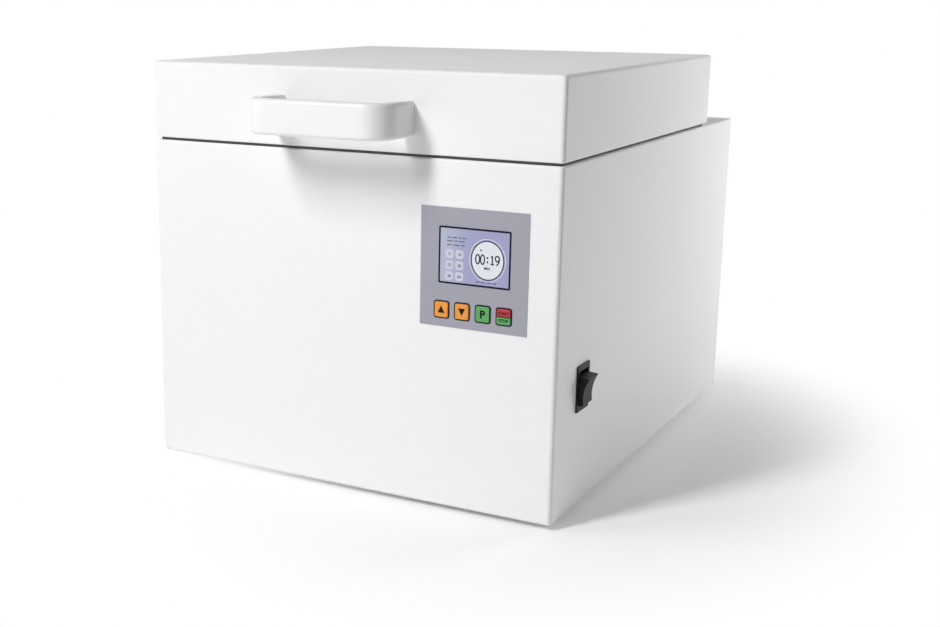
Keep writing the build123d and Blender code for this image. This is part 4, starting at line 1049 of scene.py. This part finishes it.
class CURING_OT_lamps(bpy.types.Operator):
    """Makes the twin-tube lamps of chamber and lid, with domed ends and a glass bridge"""
    bl_idname = "curing.lamps"
    bl_label = "Make the lamps"

    bridge_radius = 3.6 * MM
    # The bridge lies this far in from the tubes' far ends.
    bridge_in = 12 * MM

    def execute(self, context):
        sizes = context.scene.curing_sizes
        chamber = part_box("reflector_tub")
        centre = (chamber[0] + chamber[1]) / 2
        tree = lamp_tree(finish_of("lamp_glass"))
        for node, bases, body in (("chamber_lamps", "chamber_lamp_bases", "base"),
                                  ("lid_lamps", "lid_lamp_bases", "lid")):
            found = islands(node)
            low, high = found[0]
            sides = sorted(high - low)
            tube_radius, tube_length = sides[0] / 2, sides[2]
            tube = blank("tube_blank", self.tube(tube_radius, tube_length), crease=60)
            bridge = blank("bridge_blank", self.bridge(sizes.tube_pitch), crease=60)
            places = [self.place(pair, islands(bases), centre, body) for pair in found]
            values = {"Tube": tube, "Bridge": bridge, "Half pitch": sizes.tube_pitch / 2,
                      "Bridge place": (tube_length - self.bridge_in, 0, 0)}
            points = point_cloud(node + "_points", [p[0] for p in places],
                                 {"along": [p[1] for p in places], "inward": [p[2] for p in places]})
            mesh = baked(node + "_glass", tree, values, points, crease=60)
            for helper in (tube, bridge):
                bpy.data.objects.remove(helper)
            piece(node + "_glass", mesh, "lamp_glass", body, [node])
        return {"FINISHED"}

    def place(self, pair, bases, centre, body):
        """Where a lamp's base end is, the way its tubes run and the way its face looks."""
        low, high = pair
        middle = (low + high) / 2
        size = high - low
        axis = max(range(3), key=lambda i: size[i])
        flat = min(range(3), key=lambda i: size[i])
        nearest = min(bases, key=lambda b: ((b[0] + b[1]) / 2 - middle).length)
        along = Vector((0, 0, 0))
        along[axis] = 1 if middle[axis] > ((nearest[0] + nearest[1]) / 2)[axis] else -1
        inward = Vector((0, 0, 0))
        inward[flat] = 1 if centre[flat] > middle[flat] else -1
        if flat == 2:
            # A lamp that lies flat faces up from the floor and down from the lid.
            inward[flat] = -1 if body == "lid" else 1
        return middle - along * size[axis] / 2, along, inward

    def tube(self, radius, reach):
        """One tube along x with a domed far end."""
        dome = [(radius * cos(a), reach - radius + radius * sin(a)) for a in
                (radians(d) for d in range(0, 90, 15))]
        work = turned([(0, 0), (radius, 0)] + dome + [(0, reach)], sides=28)
        bmesh.ops.rotate(work, cent=(0, 0, 0), matrix=Matrix.Rotation(pi / 2, 3, "Y"), verts=work.verts)
        return work

    def bridge(self, pitch):
        """The short glass link between the tubes, along y."""
        half = pitch / 2
        radius = self.bridge_radius
        work = turned([(0, -half), (radius, -half), (radius, half), (0, half)], sides=20)
        bmesh.ops.rotate(work, cent=(0, 0, 0), matrix=Matrix.Rotation(pi / 2, 3, "X"), verts=work.verts)
        return work


class CURING_OT_guard(bpy.types.Operator):
    """Makes the wire finger guard over the fan"""
    bl_idname = "curing.guard"
    bl_label = "Make the finger guard"

    rings = 4
    inner_ring = 13.5 * MM
    eye_radius = 2.9 * MM

    def execute(self, context):
        sizes = context.scene.curing_sizes
        low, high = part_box("fan_guard")
        screws = islands("fan_screws")
        corner = (screws[0][0] + screws[0][1]) / 2
        middle = Vector(((low.x + high.x) / 2, high.y - sizes.wire_radius, (low.z + high.z) / 2))
        reach = Vector((corner.x - middle.x, corner.z - middle.z)).length
        values = {"Rings": self.rings, "Inner radius": self.inner_ring, "Ring pitch": sizes.guard_pitch,
                  "Wire radius": sizes.wire_radius, "Reach": reach, "Eye radius": self.eye_radius,
                  "Drop": middle.y - 2 * sizes.wire_radius - low.y, "Middle": middle}
        mesh = baked("finger_guard", guard_tree(finish_of("plated_wire")), values)
        piece("finger_guard", mesh, "plated_wire", "base", ["fan_guard"])
        return {"FINISHED"}


class CURING_OT_stage(bpy.types.Operator):
    """Makes the pale floor, the soft studio light and the camera at the photograph's angle"""
    bl_idname = "curing.stage"
    bl_label = "Make the stage"

    # The camera, from the corners of body and lid: its place in metres, its turn in degrees.
    camera_place = (0.5979, -1.2723, 0.4503)
    camera_azimuth = 29.8
    camera_elevation = 13.27
    camera_roll = 0.17
    focal = 52.75
    shift = (0.1283, 0.0008)

    # Soft lamps: place, the point they look at, width and height in metres, strength in watts, and whether
    # they show in shiny surfaces. The two at the rear are too near the box for that.
    lamps = (
        ("front", (0.2, -3.0, 0.34), (0.0, 0.0, 0.15), 2.4, 0.6, 9.0, True),
        ("key", (-0.77, -1.9, 1.94), (0.0, -0.2, 0.3), 0.4, 1.15, 50.0, True),
        ("right_rear", (0.85, 1.1, 0.5), (0.2, 0.15, 0.2), 0.5, 0.5, 11.5, False),
        ("right", (2.2, 0.2, 0.5), (0.2, 0.0, 0.2), 0.8, 0.8, 0.8, True),
        ("left_rear", (-1.8, 1.5, 0.3), (0.0, 0.0, 0.2), 1.0, 0.4, 12.0, False),
        ("floor_key", (-0.9, -0.75, 2.4), (0.05, 0.0, 0.0), 0.7, 0.7, 14.5, True),
    )
    world_light = 0.01
    floor_radius = 6.0
    # The shadow's oval, in metres: its middle's shift, its stretch, and where the fade starts and ends.
    oval_shift = (-0.12, 0, 0)
    oval_stretch = (1, 0.75, 1)
    fade_start = 0.15
    fade_end = 0.37
    # The share of white that shows inside the oval.
    white_inside = 0.13

    def execute(self, context):
        self.world(context.scene)
        self.floor(context.scene)
        for name, place, target, width, height, power, shows in self.lamps:
            data = bpy.data.lights.new(name + "_lamp", "AREA")
            data.shape = "RECTANGLE"
            data.size, data.size_y = width, height
            data.energy = power
            lamp = bpy.data.objects.new(name + "_lamp", data)
            context.scene.collection.objects.link(lamp)
            lamp.location = place
            lamp.visible_glossy = shows
            lamp.rotation_euler = (Vector(target) - Vector(place)).to_track_quat("-Z", "Y").to_euler()
            if name == "floor_key":
                # It lights the floor alone, so that the lid stays as dim as in the photograph.
                lamp.light_linking.receiver_collection = self.linked("floor_only", bpy.data.objects["floor"])
            if name == "right_rear":
                # It spares the handle, whose right end is dark in the photograph.
                spared = self.linked("handle_spared", frame["nodes"]["lid_handle"])
                lamp.light_linking.receiver_collection = spared
                spared.collection_objects[0].light_linking.link_state = "EXCLUDE"
        self.camera(context.scene)
        context.scene.view_settings.view_transform = "Standard"
        return {"FINISHED"}

    def linked(self, name, target):
        """A collection of one object, for a lamp that lights or spares it."""
        made = bpy.data.collections.new(name)
        made.objects.link(target)
        return made

    def seen(self, tree):
        """1 for rays that show the background: straight, mirrored or through glass."""
        path = add(tree, "ShaderNodeLightPath").outputs
        first = worked_out(tree, "MAXIMUM", path["Is Camera Ray"], path["Is Glossy Ray"])
        return worked_out(tree, "MAXIMUM", first, path["Is Transmission Ray"])

    def mixed(self, tree, factor, first, second):
        """A shader that goes from the first to the second as the factor goes from 0 to 1."""
        return add(tree, "ShaderNodeMixShader", {0: factor, 1: first.outputs[0], 2: second.outputs[0]})

    def world(self, scene):
        """Dim grey light all round, which shows as a plain white background."""
        scene.world = bpy.data.worlds.new("studio")
        scene.world.use_nodes = True
        tree = scene.world.node_tree
        tree.nodes.clear()
        white = linear("#FFFFFF")
        light = add(tree, "ShaderNodeBackground", {"Color": white, "Strength": self.world_light})
        shown = add(tree, "ShaderNodeBackground", {"Color": white, "Strength": 1.0})
        both = self.mixed(tree, self.seen(tree), light, shown)
        add(tree, "ShaderNodeOutputWorld", {"Surface": both.outputs[0]})

    def floor(self, scene):
        """A wide pale disc that keeps the shadow near the box and fades to the white background."""
        work = bmesh.new()
        bmesh.ops.create_circle(work, cap_ends=True, radius=self.floor_radius, segments=96)
        disc = bpy.data.objects.new("floor", joined("floor", [work]))
        scene.collection.objects.link(disc)
        made, tree, where = new_finish("pale_studio_floor")
        tone = grains(tree, where, 400 * MM, 1.0)
        matt = add(tree, "ShaderNodeBsdfDiffuse", {
            "Color": tinted(tree, tone, linear("#F2F2F2"), linear("#F4F4F4")), "Roughness": 0.0})
        white = add(tree, "ShaderNodeEmission", {"Color": linear("#FFFFFF"), "Strength": 1.0})
        # The shadow's oval: the floor turns white where it ends.
        place = add(tree, "ShaderNodeMapping", {
            "Vector": where, "Location": self.oval_shift, "Scale": self.oval_stretch})
        far = add(tree, "ShaderNodeVectorMath", {0: place.outputs[0]}, operation="LENGTH")
        fade = add(tree, "ShaderNodeMapRange", {
            "Value": far.outputs["Value"], "From Min": self.fade_start, "From Max": self.fade_end,
            "To Min": self.white_inside}, interpolation_type="SMOOTHSTEP")
        shown = worked_out(tree, "MULTIPLY", fade.outputs[0], self.seen(tree))
        fading = self.mixed(tree, shown, matt, white)
        # A camera under the floor looks up through it at the base plate.
        back = add(tree, "ShaderNodeNewGeometry").outputs["Backfacing"]
        straight = add(tree, "ShaderNodeLightPath").outputs["Is Camera Ray"]
        below = worked_out(tree, "MULTIPLY", back, straight)
        clear = add(tree, "ShaderNodeBsdfTransparent")
        show(made, self.mixed(tree, below, fading, clear))
        disc.data.materials.append(made)

    def camera(self, scene):
        """The camera at the photograph's place and angle."""
        azimuth, elevation = radians(self.camera_azimuth), radians(self.camera_elevation)
        back = Vector((sin(azimuth) * cos(elevation), -cos(azimuth) * cos(elevation), sin(elevation)))
        data = bpy.data.cameras.new("photo_camera")
        data.sensor_width = 36.0
        data.lens = self.focal
        data.shift_x, data.shift_y = self.shift
        camera = bpy.data.objects.new("photo_camera", data)
        scene.collection.objects.link(camera)
        roll = Matrix.Rotation(radians(self.camera_roll), 3, "Z")
        turn = (-back).to_track_quat("-Z", "Y").to_matrix() @ roll
        camera.matrix_world = Matrix.Translation(self.camera_place) @ turn.to_4x4()
        scene.camera = camera


class CURING_PT_sidebar(bpy.types.Panel):
    """Lists the box's operators and settings"""
    bl_label = "Curing Box"
    bl_idname = "CURING_PT_sidebar"
    bl_space_type = "VIEW_3D"
    bl_region_type = "UI"
    bl_category = "Curing Box"

    def draw(self, context):
        for operator in OPERATORS:
            self.layout.operator(operator.bl_idname)
        for group in (context.scene.curing_sizes, context.scene.curing_look):
            column = self.layout.column(align=True)
            for name in group.__annotations__:
                column.prop(group, name)


OPERATORS = (CURING_OT_finishes, CURING_OT_display, CURING_OT_keys, CURING_OT_screws, CURING_OT_lamps,
             CURING_OT_guard, CURING_OT_stage)
CLASSES = (CuringBoxLook, CuringBoxSizes, *OPERATORS, CURING_PT_sidebar)


def register():
    for kind in CLASSES:
        bpy.utils.register_class(kind)
    bpy.types.Scene.curing_look = bpy.props.PointerProperty(type=CuringBoxLook)
    bpy.types.Scene.curing_sizes = bpy.props.PointerProperty(type=CuringBoxSizes)


def unregister():
    del bpy.types.Scene.curing_sizes
    del bpy.types.Scene.curing_look
    for kind in reversed(CLASSES):
        bpy.utils.unregister_class(kind)


def main():
    register()
    bpy.ops.curing.finishes()
    bpy.ops.curing.display()
    bpy.ops.curing.keys()
    bpy.ops.curing.screws()
    bpy.ops.curing.lamps()
    bpy.ops.curing.guard()
    bpy.ops.curing.stage()


if __name__ == "__main__":
    main()
